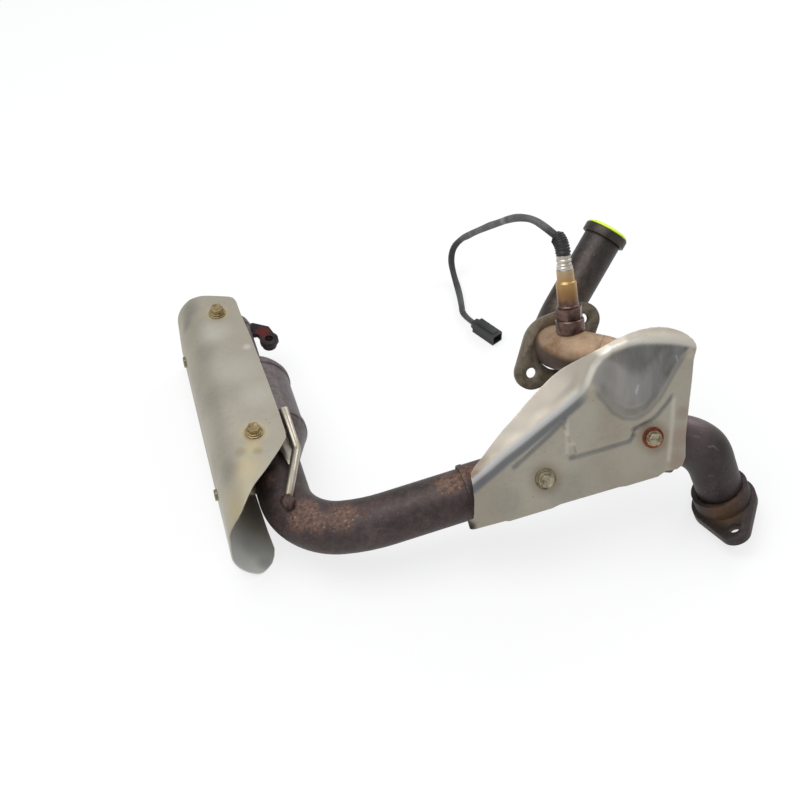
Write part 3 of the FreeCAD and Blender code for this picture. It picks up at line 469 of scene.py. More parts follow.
PANEL_OUT = (Vector((MAIN_LINE.y, -MAIN_LINE.x, 0)).normalized() * math.cos(math.radians(31))
             + (Vector((0, 0, 1)) - MAIN_LINE * MAIN_LINE.z).normalized() * math.sin(math.radians(31)))
PANEL_PLACE = aim(ELBOW + MAIN_LINE * 153.3 * MM, MAIN_LINE, PANEL_OUT.cross(MAIN_LINE))
RIM = [(-12, -20), (-4, -20.5), (27, -22.0), (31, -23.4), (71, -24.0), (79, -22.8), (135, -24.2), (141, -25.4),
       (172, -26.0), (181, -22.8), (190, -23.8), (196, -21.5), (200, -15), (204.6, 4.3), (213.1, 29.8), (220.9, 52.3),
       (226.9, 71.4), (229.9, 80.9), (230.2, 85), (229, 89.5), (226, 94), (221, 98.8), (215, 103), (209, 106.5),
       (201, 110), (193, 112.3), (183, 113.7), (172, 113.8), (160, 112.6), (150, 110.6), (141, 107.8), (131, 104),
       (121, 100), (111, 96), (101, 91.4), (88, 84), (75, 76), (62, 67.8), (49, 59.3), (36, 50.5), (23, 41),
       (13, 34), (8.6, 30), (7.4, 25), (7, 18.9), (5.2, 6), (2, -6), (0, -11), (-12, -11.5)]
CREST = [(4, 20.5), (12.2, 24.1), (25.9, 30.2), (41.7, 37.6), (68, 49.2), (99.2, 62.1), (112, 67.8), (120.5, 72.5),
         (126.5, 79), (130.6, 87), (135, 95), (141.5, 101.6), (151.5, 106.3), (167.7, 107.8), (180, 106.2),
         (194, 102.2), (207, 97.2), (217, 92.6), (228, 86.5), (240, 79)]
DOME_EDGE = [(127, 80), (130.1, 77), (134.6, 65.2), (139.1, 56.1), (143.4, 46.2), (151.8, 37.2), (161.4, 33.7),
             (169.1, 34.1), (177.3, 36.8), (190.9, 46.4), (206, 62.7), (214.5, 71.4), (226, 83)]
RIBS = [[(47, 25.2), (64.1, 33.7), (83.4, 43.3), (101.2, 53)],
        [(98.7, 17.1), (116.6, 16.7), (135, 16.1), (153.5, 15.9), (158.3, 20.2)],
        [(159.5, 25.6), (167.5, 26.9), (175.4, 28.2), (182.8, 31.2), (191.8, 37.5), (201, 44.7)]]
CREASES = [[(103.1, 51.3), (96.1, 21.9)], [(202.3, 43.8), (196, 21.7), (184.3, -13.6)]]


def nearest(x, y, line):
    """The distance to a line of points, positive on its left, and how far along it the place is."""
    best = (1e9, 0.0, 0.0)
    passed = 0.0
    for (x0, y0), (x1, y1) in zip(line, line[1:]):
        run, rise = x1 - x0, y1 - y0
        length = math.hypot(run, rise)
        part = max(0.0, min(1.0, ((x - x0) * run + (y - y0) * rise) / length ** 2))
        away = math.hypot(x - x0 - run * part, y - y0 - rise * part)
        if away < best[0] - 1e-6:
            left = run * (y - y0) - rise * (x - x0)
            best = (away, math.copysign(away, left), passed + part * length)
        passed += length
    return best


def rounded(x, y, line, reach):
    """The distance to a line of points with the seams between its pieces blended out."""
    return -reach * math.log(sum(math.exp(-nearest(x, y, pair)[0] / reach) for pair in zip(line, line[1:])))


def step_line(x):
    """Height of the pressed step's line over the panel, for a place along it."""
    knots = [(20, 12), (47, 25.2), (101, 53.2), (101.1, 17.0), (153.5, 15.9), (158.3, 20.2), (159.5, 25.6),
             (175.4, 28.2), (182.8, 31.2), (191.8, 37.5), (201, 44.7)]
    for (x0, y0), (x1, y1) in zip(knots, knots[1:]):
        if x <= x1:
            return y0 + (y1 - y0) * max(0.0, x - x0) / (x1 - x0)
    return knots[-1][1]


class PanelForm:
    """The pressed form of the right shield over its panel's own axes, in millimetres."""

    def __init__(self):
        self.dome_outline = DOME_EDGE + [spot for spot in reversed(CREST) if 127 < spot[0] < 227]

    def at(self, x, y):
        """Height, place over the crest, depth into the dome and nearness to ribs and creases."""
        over = nearest(x, y, CREST)[1]
        if over > 4:
            over += (rounded(x, y, CREST, 5) + 3 - over) * smooth(over, 4, 12)
        edge = nearest(x, y, DOME_EDGE)[0]
        within = edge if inside(Vector((x, y)), self.dome_outline) else -edge
        if within > 2:
            within += (rounded(x, y, DOME_EDGE, 9) + 6 - within) * smooth(within, 2, 10)
        swell = smooth(x + 0.35 * (y - 80), 116, 160)
        crest = 38 + 15 * swell - 10 * smooth(x, 186, 232)
        share = 1 - (1 - smooth(within, -2, 27)) * smooth(-over, 0, 16)
        height = 38 + (crest - 38) * share * smooth(x + 0.35 * (y - 80), 104, 124)
        drop = 0.0 if over < -3.5 else over if over > 3.5 else (over + 3.5) ** 2 / 14
        height -= (0.48 + 0.50 * swell) * drop
        line = (step_line(x - 2) + step_line(x) + step_line(x + 2)) / 3
        right_edge = 184.3 + (y + 13.6) * 0.312
        raised = max(smooth(y - line, -2.6, 2.6), smooth(x - right_edge, -2.6, 2.6)) * smooth(x, 36, 64)
        height += 2.2 * raised
        if x < 0:
            height -= 5 * (1 - math.cos(min(2.2, -x / 5)))
        ribs = min(nearest(x, y + 0.8, line)[0] for line in RIBS)
        creases = min(nearest(x, y, line)[0] for line in CREASES)
        return height, over, within, ribs, creases, smooth(x + 0.35 * (y - 80), 108, 128)


class EXHAUST_OT_right_shield(bpy.types.Operator):
    """Presses the right heat shield from a flat pattern"""
    bl_idname = "exhaust.right_shield"
    bl_label = "Right heat shield"

    def execute(self, context):
        corners = [(x * MM, y * MM) for x, y in RIM]
        item = flat_pattern((-0.014, -0.028), (0.234, 0.116), 0.0016, corners)
        names = ("dome", "flank", "ridge_highlight", "shade", "rib", "crease_highlight", "rim_light")
        for name in names:
            item.data.attributes.new(name, "FLOAT", "POINT")
        paint = {name: item.data.attributes[name] for name in names}
        form = PanelForm()
        for index, vertex in enumerate(item.data.vertices):
            x, y = vertex.co.x / MM, vertex.co.y / MM
            height, over, within, ribs, creases, swell = form.at(x, y)
            vertex.co.z = height * MM
            if x < 0:
                vertex.co.x = -5 * math.sin(min(2.2, -x / 5)) * MM
            # The masks below mark the painted reflection on the dome, painted light on the flank, painted highlights
            # on the fold, the creases and the dome's crest, and painted shade below the fold, along the ribs and
            # along the dome's edge.
            paint["dome"].data[index].value = smooth(within, 0, 5) * smooth(-over, 2, 6)
            paint["flank"].data[index].value = smooth(over, -1, 5)
            paint["ridge_highlight"].data[index].value = (1 - smooth(abs(over - 0.5), 0.8, 3.2)) * (1 - swell)
            paint["shade"].data[index].value = (1 - smooth(abs(over + 5.8), 1.6, 5.2)) * (1 - swell)
            edge = 0.75 * (1 - smooth(abs(within - 0.6), 0.7, 2.8)) * smooth(-over, 6, 16)
            paint["rib"].data[index].value = max(edge, (1 - smooth(ribs, 1.2, 3.8)) * (1 - smooth(within, -3, 0)))
            paint["crease_highlight"].data[index].value = 1 - smooth(creases, 0.6, 2.4)
            paint["rim_light"].data[index].value = (1 - smooth(abs(over + 0.5), 1.0, 3.6)) * swell
        item.data.transform(PANEL_PLACE)
        thickened(item, sizes().sheet, -1)
        made = Recipe("right_sheet")
        base = colours().right_sheet
        tone, rough, dents, specks = worn_sheet(made, base, (0.33, 0.28, 0.21))
        # Painted light: the flank that faces the lamp is painted paler.
        flank = made.attribute("flank")
        tone = made.mixed(flank * 0.55, tone, screen(206, 197, 184))
        tone = made.blotched(tone, self.stains(), 60, 0.5, 0.9)
        # Painted reflection: the polished dome is painted dark grey, as the dark surroundings it mirrors, with
        # vertical streaks, thin pale lines and a paler left side.
        streaks = made.noise(46, 4, 0.6, made.stretched((1, 1, 0.10))).between(0.36, 0.66)
        right_hand = made.along(PANEL_PLACE @ point(128, 70, 40), MAIN_LINE).between(0.0, 0.10)
        dark = made.mixed(streaks, [min(1, part * 1.5) for part in colours().dome],
                          [part * 0.62 for part in colours().dome])
        dark = made.mixed((1 - right_hand) * 0.45, dark, screen(176, 172, 166))
        hair = made.noise(52, 2, 0.5, made.stretched((6, 6, 0.8), (0.4, 0.9, 0.2))).between(0.69, 0.74)
        dark = made.mixed(hair * 0.5, dark, screen(170, 176, 180))
        dome_reflection = made.attribute("dome")
        tone = made.mixed(dome_reflection * 0.93, tone, dark)
        shade = made.attribute("shade")
        tone = made.mixed(shade * 0.80, tone, screen(106, 111, 118))
        # Painted highlight along the fold.
        ridge_highlight = made.attribute("ridge_highlight")
        tone = made.mixed(ridge_highlight * 0.75, tone, screen(205, 208, 212))
        # Painted shade along the ribs and along the dome's edge.
        rib = made.attribute("rib")
        tone = made.mixed(rib * 0.66, tone, screen(100, 104, 106))
        # Painted highlights along the creases.
        crease_highlight = made.attribute("crease_highlight")
        tone = made.mixed(crease_highlight * 0.45, tone, screen(205, 200, 188))
        # Painted highlight along the dome's crest.
        rim_light = made.attribute("rim_light")
        tone = made.mixed(rim_light * 0.8, tone, screen(226, 222, 212))
        rough = rough - dome_reflection * 0.16 - (ridge_highlight + shade + rim_light) * 0.14
        material = made.finished(tone, rough, 0.92 - specks * 0.5, dents, 0.14, 0.002)
        settled(item, "right_shield_dressed", ["right_shield"], material, 50)
        return {"FINISHED"}

    def stains(self):
        """Spots on the panel, each with its reach, colour and strength; the first, dark one is painted shadow inside
        the rolled lip.
        """
        brown, pink, grey, pale = (128, 98, 76), (150, 122, 108), (120, 116, 108), (196, 190, 176)
        spots = [
            ((-5, -17, 34), 4, 9, (40, 38, 36), 1.0), ((12, 26, 36), 2, 13, brown, 0.75),
            ((20, 38, 30), 2, 12, brown, 0.5), ((9, 31, 30), 1, 7, brown, 0.8),
            ((71.7, 4.6, 40), 10, 20, brown, 0.35), ((175.4, 11.2, 40), 10, 20, brown, 0.45),
            ((200, 5, 40), 3, 16, pink, 0.5), ((206, 26, 40), 2, 10, pink, 0.45), ((192, -16, 38), 3, 14, pink, 0.4),
            ((90, -10, 38), 6, 26, grey, 0.25), ((150, 0, 38), 6, 28, pale, 0.3), ((30, -8, 38), 6, 22, grey, 0.22),
            ((120, 52, 38), 4, 22, pale, 0.3), ((60, 52, 30), 4, 26, pale, 0.3), ((140, 32, 39), 4, 18, pink, 0.16)]
        return [(PANEL_PLACE @ point(*spot), inner * MM, outer * MM, colour, share)
                for spot, inner, outer, colour, share in spots]


# Left heat shield

CAN_PLACE = aim(CAN_FRONT, CAN_LINE, Vector((0, 0, 1)))
LEFT_PATTERN = [(180, 20), (177, 8), (172, -7), (167, -20), (164, -24), (158, -26), (140, -27), (95, -31),
                (34, -34.6), (-10, -36.6), (-36, -37.2), (-42, -36.4), (-46, -34), (-57, -26), (-75, -11.5), (-92, 4),
                (-105, 13.5), (-113, 20), (-117.5, 27), (-119.4, 36), (-119.4, 126), (-117.5, 131.5), (-112, 138.5),
                (-107.5, 143), (-100, 147), (-91.5, 149), (-70, 147), (-20, 144), (180, 141)]


TOP_BEND = 34
TOP_HEIGHT = 95


def left_section(x, run):
    """Across and up, for a place along the shield and a run round its section."""
    quarter = TOP_BEND * math.pi / 2
    share = (180 - x) / 299.5
    side = 53 + 8 * share
    low = 22 + 17 * share
    if run < 0:
        return -side + TOP_BEND - run, TOP_HEIGHT
    if run < quarter:
        turn = run / TOP_BEND
        return -side + TOP_BEND - TOP_BEND * math.sin(turn), TOP_HEIGHT - TOP_BEND * (1 - math.cos(turn))
    straight = 61 - low
    floor = 39 - low
    run = (run - quarter) * (straight + low * math.pi / 2 + floor) / (144 - quarter)
    if run < straight:
        return -side, 61 - run
    run -= straight
    if run < low * math.pi / 2:
        turn = run / low
        return -side + low - low * math.cos(turn), low - low * math.sin(turn)
    return -side + low + run - low * math.pi / 2, 0.0


def left_spot(x, run):
    across, up = left_section(x, run)
    return CAN_PLACE @ point(x, up - 50, across)


class EXHAUST_OT_left_shield(bpy.types.Operator):
    """Rolls the left heat shield from a flat pattern"""
    bl_idname = "exhaust.left_shield"
    bl_label = "Left heat shield"

    def execute(self, context):
        corners = [(x * MM, y * MM) for x, y in LEFT_PATTERN]
        item = flat_pattern((-0.121, -0.039), (0.182, 0.151), 0.0026, corners)
        for vertex in item.data.vertices:
            x, run = vertex.co.x / MM, vertex.co.y / MM
            across, up = left_section(x, run)
            vertex.co = Vector((x, up - 50, across)) * MM
        item.data.transform(CAN_PLACE)
        only(item)
        bpy.ops.object.mode_set(mode="EDIT")
        bpy.ops.mesh.select_all(action="SELECT")
        bpy.ops.mesh.normals_make_consistent(inside=False)
        bpy.ops.object.mode_set(mode="OBJECT")
        top = max(item.data.polygons, key=lambda face: face.center.z)
        thickened(item, sizes().sheet, -1 if top.normal.z > 0 else 1)
        made = Recipe("left_sheet")
        tone, rough, dents, specks = worn_sheet(made, colours().left_sheet, (0.38, 0.35, 0.26))
        tone = made.blotched(tone, self.stains(), 55, 0.45, 1.0)
        # Painted light: the inside of the leaf is painted paler and less metallic.
        leaf_light = made.near(left_spot(-108, 108), 0.024, 0.066)
        tone = made.mixed(leaf_light * 0.45, tone, screen(186, 188, 182))
        material = made.finished(tone, rough, 0.85 - specks * 0.5 - leaf_light * 0.75, dents, 0.2, 0.002)
        settled(item, "left_shield_dressed", ["left_shield"], material, 50)
        return {"FINISHED"}

    def stains(self):
        """Spots on the shield, each with its reach, colour and strength; the near-white one on the leaf is painted
        light.
        """
        yellow, brown, grey, pale = (196, 180, 138), (142, 126, 96), (118, 116, 110), (196, 193, 184)
        spots = [
            ((-28, -9), 9, 17, yellow, 0.55), ((-28, -9), 9, 12, brown, 0.35), ((-46, -4), 2, 14, yellow, 0.6),
            ((-48, 8), 1, 9, brown, 0.55), ((-52, -8), 1, 7, brown, 0.5), ((-70, 6), 4, 24, yellow, 0.5),
            ((-96, 22), 4, 26, yellow, 0.42), ((-112, 30), 3, 18, yellow, 0.42), ((-60, 24), 3, 20, grey, 0.35),
            ((146, -4), 8, 15, yellow, 0.5), ((165, 24), 2, 18, grey, 0.5), ((152, 32), 2, 12, grey, 0.45),
            ((120, 4), 4, 26, pale, 0.5), ((88, -24), 1, 6, pale, 0.8), ((60, -8), 4, 30, pale, 0.3),
            ((20, -20), 4, 24, pale, 0.35), ((30, 14), 4, 30, grey, 0.22), ((96, 16), 3, 20, grey, 0.28),
            ((-104, 112), 8, 46, (236, 236, 232), 0.8), ((-100, 143), 4, 22, grey, 0.6),
            ((-86, 128), 4, 20, grey, 0.45), ((-108, 136), 2, 12, (88, 88, 92), 0.7)]
        return [(left_spot(*spot), inner * MM, outer * MM, colour, share)
                for spot, inner, outer, colour, share in spots]


FLANGE_MIDDLE = point(87.6, 9.8, 148.7)
FLANGE_LINE = Vector((0.6909, 0.5100, 0.5124)).normalized()


class EXHAUST_OT_pipes(bpy.types.Operator):
    """Makes the main pipe, the headers and the collector"""
    bl_idname = "exhaust.pipes"
    bl_label = "Pipes and headers"

    def execute(self, context):
        whole = (-CAN_LINE).angle(MAIN_LINE)
        easing = math.radians(16)
        sharp = whole - easing
        run = (ELBOW_BEND * math.sin(sharp) + EASING_BEND * (math.sin(whole) - math.sin(sharp))) * MM
        rise = (ELBOW_BEND * (1 - math.cos(sharp)) + EASING_BEND * (math.cos(sharp) - math.cos(whole))) * MM
        first = (CAN_GAP - INLET) * MM - run + rise / math.tan(whole)
        reach = (COLLECTOR - ELBOW).length - COLLECTOR_GAP * MM
        last = reach + PIPE_OVERLAP * MM - rise / math.sin(whole)
        start = CAN_FRONT - CAN_LINE * INLET * MM
        item = bent_tube(aim(start, -CAN_LINE, MAIN_LINE), sizes().main_radius, [first, 0, last],
                         [(sizes().elbow_radius, sharp), (sizes().easing_radius, easing)])
        settled(item, "main_pipe_dressed", ["main_pipe"], self.main_finish("main_pipe", 0.45))
        joint = self.main_finish("joint", 0.9)
        self.sleeve(joint)
        dressed("collector", joint, 0.0004)
        rear = Recipe("rear_header")
        tone, rough, metal, pits = heat_tinted_pipe(rear, colours().header, 0.12, 0.35, 0.12)
        arcs = rear.noise(24, 3, 0.7, rear.stretched((1, 6, 1.4), (0.4, 0.1, 0.5))).between(0.62, 0.72)
        tone = rear.mixed(arcs * 0.45, tone, screen(128, 122, 116))
        pink = rear.near(point(214, -52, 112), 0.006, 0.034) * (0.5 + rear.noise(50, 4) * 0.7)
        tone = rear.mixed(pink * 0.55, tone, screen(128, 112, 112))
        tone = rear.mixed(rear.near(point(228, -66, 60), 0.004, 0.03) * 0.4, tone, screen(52, 46, 42))
        item = dressed("rear_header", rear.finished(tone, rough - 0.06, metal, pits, 0.4, 0.0008), 0.0004)
        for vertex in item.data.vertices:
            share = smooth(vertex.co.z / MM, 45, 88) * smooth(vertex.co.x / MM, 186, 208)
            vertex.co += point(0, 4, 9.5) * share
        hub = Recipe("rear_flange")
        tone, rough, metal, pits = heat_tinted_pipe(hub, screen(58, 52, 48), 0.35, 0.2, 0.15)
        seam = hub.near(point(249, -82, 30), 0.004, 0.026) * (0.4 + hub.noise(80, 5) * 0.9)
        tone = hub.mixed(seam * 0.7, tone, screen(112, 84, 58))
        hole = hub.near(point(259.2, -94.1, 9), 0.007, 0.013)
        tone = hub.mixed(hole * 0.6, tone, screen(104, 70, 50))
        dressed("rear_flange", hub.finished(tone, rough, metal, pits, 0.5, 0.001), 0.0016)
        front = Recipe("front_header")
        tone, rough, metal, pits = heat_tinted_pipe(front, screen(66, 60, 56), 0.10, 0.25, 0.12)
        glow = front.near(point(100, 66, 168), 0.006, 0.04) * front.noise(40, 4).between(0.35, 0.7)
        tone = front.mixed(glow * 0.6, tone, screen(112, 92, 66))
        finish = front.finished(tone, rough - 0.06, metal, pits, 0.35, 0.0008)
        dressed("front_header", finish, 0.0004)
        dressed("port_collar", finish, 0.0008)
        plate = Recipe("front_flange")
        tone, rough, metal, pits = heat_tinted_pipe(plate, screen(122, 112, 96), 0.06, 0.0, 0.25)
        bore = plate.near(point(92, 10, 158), 0.018, 0.030) * (0.4 + plate.noise(70, 5) * 0.9)
        tone = plate.mixed(bore * 0.5, tone, screen(110, 84, 58))
        item = dressed("front_flange", plate.finished(tone, rough, metal, pits, 0.5, 0.001), 0.0016)
        for vertex in item.data.vertices:
            run = (vertex.co - FLANGE_MIDDLE).dot(FLANGE_LINE) / MM
            shift = 1.2 + 5.5 * smooth(-run, 16, 32) - 1.2 * smooth(run, 16, 32)
            vertex.co += FLANGE_LINE * shift * MM
        return {"FINISHED"}

    def sleeve(self, finish):
        """The coupling, belled out at its open end."""
        place = aim(ELBOW + MAIN_LINE * 0.1560, MAIN_LINE, Vector((0, 0, 1)))
        item = lathed(place, [(0, 25.6), (0.4, 27.2), (4, 27.4), (5.5, 26.5), (44.5, 26.3), (45.4, 25.2)])
        settled(item, "coupling_sleeve_dressed", ["coupling_sleeve"], finish)

    def main_finish(self, name, rust):
        made = Recipe(name)
        tone, rough, metal, pits = heat_tinted_pipe(made, colours().pipe, rust, 0.3, 0.35)
        tone, crust = scaled(made, tone, [
            (point(-140, -124, 74), 0.018), (point(-148, -133, 70), 0.015), (point(-130, -137, 72), 0.014),
            (point(-106, -132, 72), 0.020), (point(-11, -106, 92), 0.018), (point(8, -98, 96), 0.016),
            (point(-178, -84, 74), 0.012)])
        straw = made.near(point(129, -32, 176), 0.022, 0.034)
        tone = made.mixed(straw, tone, colours().tan)
        return made.finished(tone, rough + crust * 0.2, metal, pits + crust * 0.5, 0.5, 0.0011)


class EXHAUST_OT_can(bpy.types.Operator):
    """Makes the catalyst can with its bracket and rod stay"""
    bl_idname = "exhaust.can"
    bl_label = "Catalyst can"

    def execute(self, context):
        made = Recipe("can")
        tone, rough, metal, pits = heat_tinted_pipe(made, screen(104, 95, 95), 0.15, 0.5, 0.3)
        can = made.finished(tone, rough - 0.04, metal, pits, 0.3, 0.0008)
        shell = lathed(CAN_PLACE, [
            (-31.5, 24.8), (-29, 25.6), (-4, 37.6), (-2, 38.6), (0, 39.2), (1.2, 40.4), (6, 40.4), (7.2, 39), (12, 38.8),
            (64, 38.8), (70, 39), (71.2, 40.2), (76, 40.2), (77.2, 39), (80, 38.4), (84, 36), (88, 31.5), (98, 22),
            (102, 19.8), (106, 19), (158, 19), (160, 20.2), (164, 20.2), (166, 19), (168.8, 19)])
        nodes = ["catalyst_shell", "inlet_cone", "outlet_cone", "outlet_pipe"]
        settled(shell, "can_dressed", nodes, can, 28)
        shorter = (CAN_PLACE @ Matrix.Translation(point(3, 0, 0)) @ Matrix.Diagonal((0.70, 1, 1, 1))
                   @ CAN_PLACE.inverted())
        dressed("catalyst_core", can, 0, moved=shorter)
        dressed("catalyst_mat", can, 0, moved=shorter)
        lug = Recipe("lug")
        tone, rough, metal, pits = heat_tinted_pipe(lug, screen(46, 41, 39), 0.1, 0.1, 0.1)
        red = lug.near(point(-197.5, 138.7, 52), 0.002, 0.011) * (0.5 + lug.noise(120, 4) * 0.9)
        tone = lug.mixed(red * 0.75, tone, screen(112, 36, 30))
        black = lug.finished(tone, rough, metal, pits, 0.4, 0.0008)
        for node in ("hanger_bracket", "hanger_nut"):
            dressed(node, black, 0.0012)
        rod = Recipe("rod")
        dull = rod.noise(34, 5, 0.65).between(0.42, 0.68)
        tone = rod.mixed(dull * 0.5, screen(176, 168, 154), screen(136, 124, 106))
        end = 1 - rod.along(CAN_PLACE @ point(-104, 27, 0), CAN_LINE).between(0.0, 0.020)
        tone = rod.mixed(end * 0.5, tone, screen(122, 96, 72))
        bright = rod.finished(tone, dull * 0.12 + 0.36, 0.95, rod.noise(300, 4), 0.15, 0.0005)
        for node in ("rod_stay", "stay_gusset"):
            dressed(node, bright, 0.0008)
        self.weld()
        return {"FINISHED"}

    def weld(self):
        """A lumpy weld where the rod's end meets the pipe."""
        unselect()
        bpy.ops.mesh.primitive_uv_sphere_add(segments=28, ring_count=18, radius=1, location=(0, 0, 0))
        bead = bpy.context.object
        for vertex in bead.data.vertices:
            x, y, z = vertex.co
            lump = 1 + 0.10 * math.sin(7 * x + 2) * math.sin(8 * z) + 0.07 * math.sin(13 * z + 5 * x)
            vertex.co = Vector((x * 8.2, y * 6.2, z * 6.4)) * lump * MM
        bead.data.transform(CAN_PLACE @ Matrix.Translation(point(-104.5, 27.6, -2.6)))
        made = Recipe("bead")
        tone, rough, metal, pits = heat_tinted_pipe(made, screen(84, 66, 58), 0.7, 0.1, 0.3)
        settled(bead, "rod_bead", [], made.finished(tone, rough, metal, pits, 0.6, 0.0012), 60)


SENSOR_RUN = (BRANCH_CORNER - SENSOR_CORNER).normalized()
SENSOR_OUT = (FRONT_CORNER - SENSOR_CORNER).normalized()


def sensor_axis():
    """The foot of the sensor on its elbow's centre line and the line it stands along."""
    turn = math.pi - SENSOR_RUN.angle(SENSOR_OUT)
    foot = SENSOR_CORNER + (SENSOR_RUN + SENSOR_OUT).normalized() * 0.034 * (1 / math.cos(turn / 2) - 1)
    across = (SENSOR_RUN - SENSOR_OUT).normalized()
    up = (Vector((0, 0, 1)) - across * across.z).normalized()
    angle = math.radians(17)
    return foot, up * math.cos(angle) - across.cross(up) * math.sin(angle)


SENSOR_FOOT, SENSOR_LINE = sensor_axis()
LEAN = (Matrix.Translation(SENSOR_FOOT + SENSOR_LINE * 0.0185)
        @ Matrix.Rotation(math.radians(5.0), 4, Vector((0, -1, 1)))
        @ Matrix.Translation(-SENSOR_FOOT - SENSOR_LINE * 0.0175))
LEAN_LINE = LEAN.to_3x3() @ SENSOR_LINE


class EXHAUST_OT_sensor(bpy.types.Operator):
    """Makes the sensor elbow, the sensor and the plug"""
    bl_idname = "exhaust.sensor"
    bl_label = "Oxygen sensor"

    def execute(self, context):
        elbow = Recipe("sensor_elbow")
        tone, rough, metal, pits = heat_tinted_pipe(elbow, colours().tan, 0.05, 0.0, 0.1)
        tone = elbow.mixed(0.45, tone, colours().tan)
        low = elbow.along(point(92.7, -23, 176), (0, 0.35, 1)) + elbow.noise(45, 4) * 0.006
        side = elbow.near(point(76, -24, 182), 0.004, 0.024) * elbow.noise(120, 5).between(0.38, 0.62)
        tone = elbow.mixed(side * 0.7, tone, screen(126, 84, 52))
        # Painted shade: the elbow is painted darker towards its underside.
        tone = elbow.mixed(1 - low.between(-0.001, 0.007), tone, screen(86, 68, 58))
        tan = elbow.finished(tone, rough + 0.05, metal - 0.15, pits, 0.35, 0.0009)
        dressed("sensor_elbow", tan, 0.0004)
        made = Recipe("sensor")
        up = made.along(LEAN @ (SENSOR_FOOT + SENSOR_LINE * 0.0175), LEAN_LINE) + made.noise(90, 4) * 0.006
        tone = made.mixed(made.noise(150, 5).between(0.35, 0.65), screen(84, 64, 59),
                          screen(118, 94, 86))
        tone = made.mixed(up.between(0.028, 0.040), tone, screen(150, 112, 72))
        tone = made.mixed(up.between(0.038, 0.050), tone, screen(178, 146, 98))
        tone = made.mixed(up.between(0.050, 0.062), tone, screen(184, 164, 132))
        grime = made.noise(60, 5, 0.7).between(0.52, 0.70)
        tone = made.mixed(grime * 0.35, tone, screen(108, 74, 50))
        straw = made.finished(tone, grime * 0.15 + 0.36, 0.85, made.noise(400, 4), 0.2, 0.0005)
        for node in ("sensor_boss", "sensor_hex", "sensor_tip", "sensor_shell"):
            dressed(node, straw, 0.0007, moved=LEAN)
        tin = Recipe("ferrule")
        dull = tin.noise(110, 5).between(0.42, 0.66)
        bright = tin.finished(tin.mixed(dull * 0.6, screen(206, 200, 190),
                                        screen(142, 128, 108)),
                              dull * 0.15 + 0.28, 0.95, tin.noise(500, 3), 0.12, 0.0004)
        dressed("sensor_ferrule", bright, 0.0003, moved=LEAN)
        plug = Recipe("plug")
        cloud = plug.noise(60, 4)
        yellow = plug.finished(plug.mixed(cloud.between(0.4, 0.7) * 0.3, colours().plug, (0.5, 0.62, 0.03)),
                               cloud * 0.15 + 0.35, 0.0, cloud, 0.1, 0.0005)
        dressed("port_plug", yellow, 0.0006)
        return {"FINISHED"}


LEAD_POINTS = [
    (82, 33.2, 263), (72.5, 41.1, 267), (62.3, 49.5, 268.8), (51.3, 60, 262.5), (43.9, 79.7, 245),
    (38.9, 114.5, 214), (34.1, 153.6, 180), (29, 195, 143), (23.1, 233.5, 108), (17.2, 269.5, 74),
    (13.8, 294.9, 50.8), (4.6, 299.1, 35.3), (1.9, 294.9, 19.8), (5.3, 283.5, 8), (9.3, 266.5, 4.3),
    (11.7, 249, 4.3), (13.1, 232, 4.3), (13.5, 222, 5), (19.6, 209.9, 6), (26.6, 202.5, 6)]


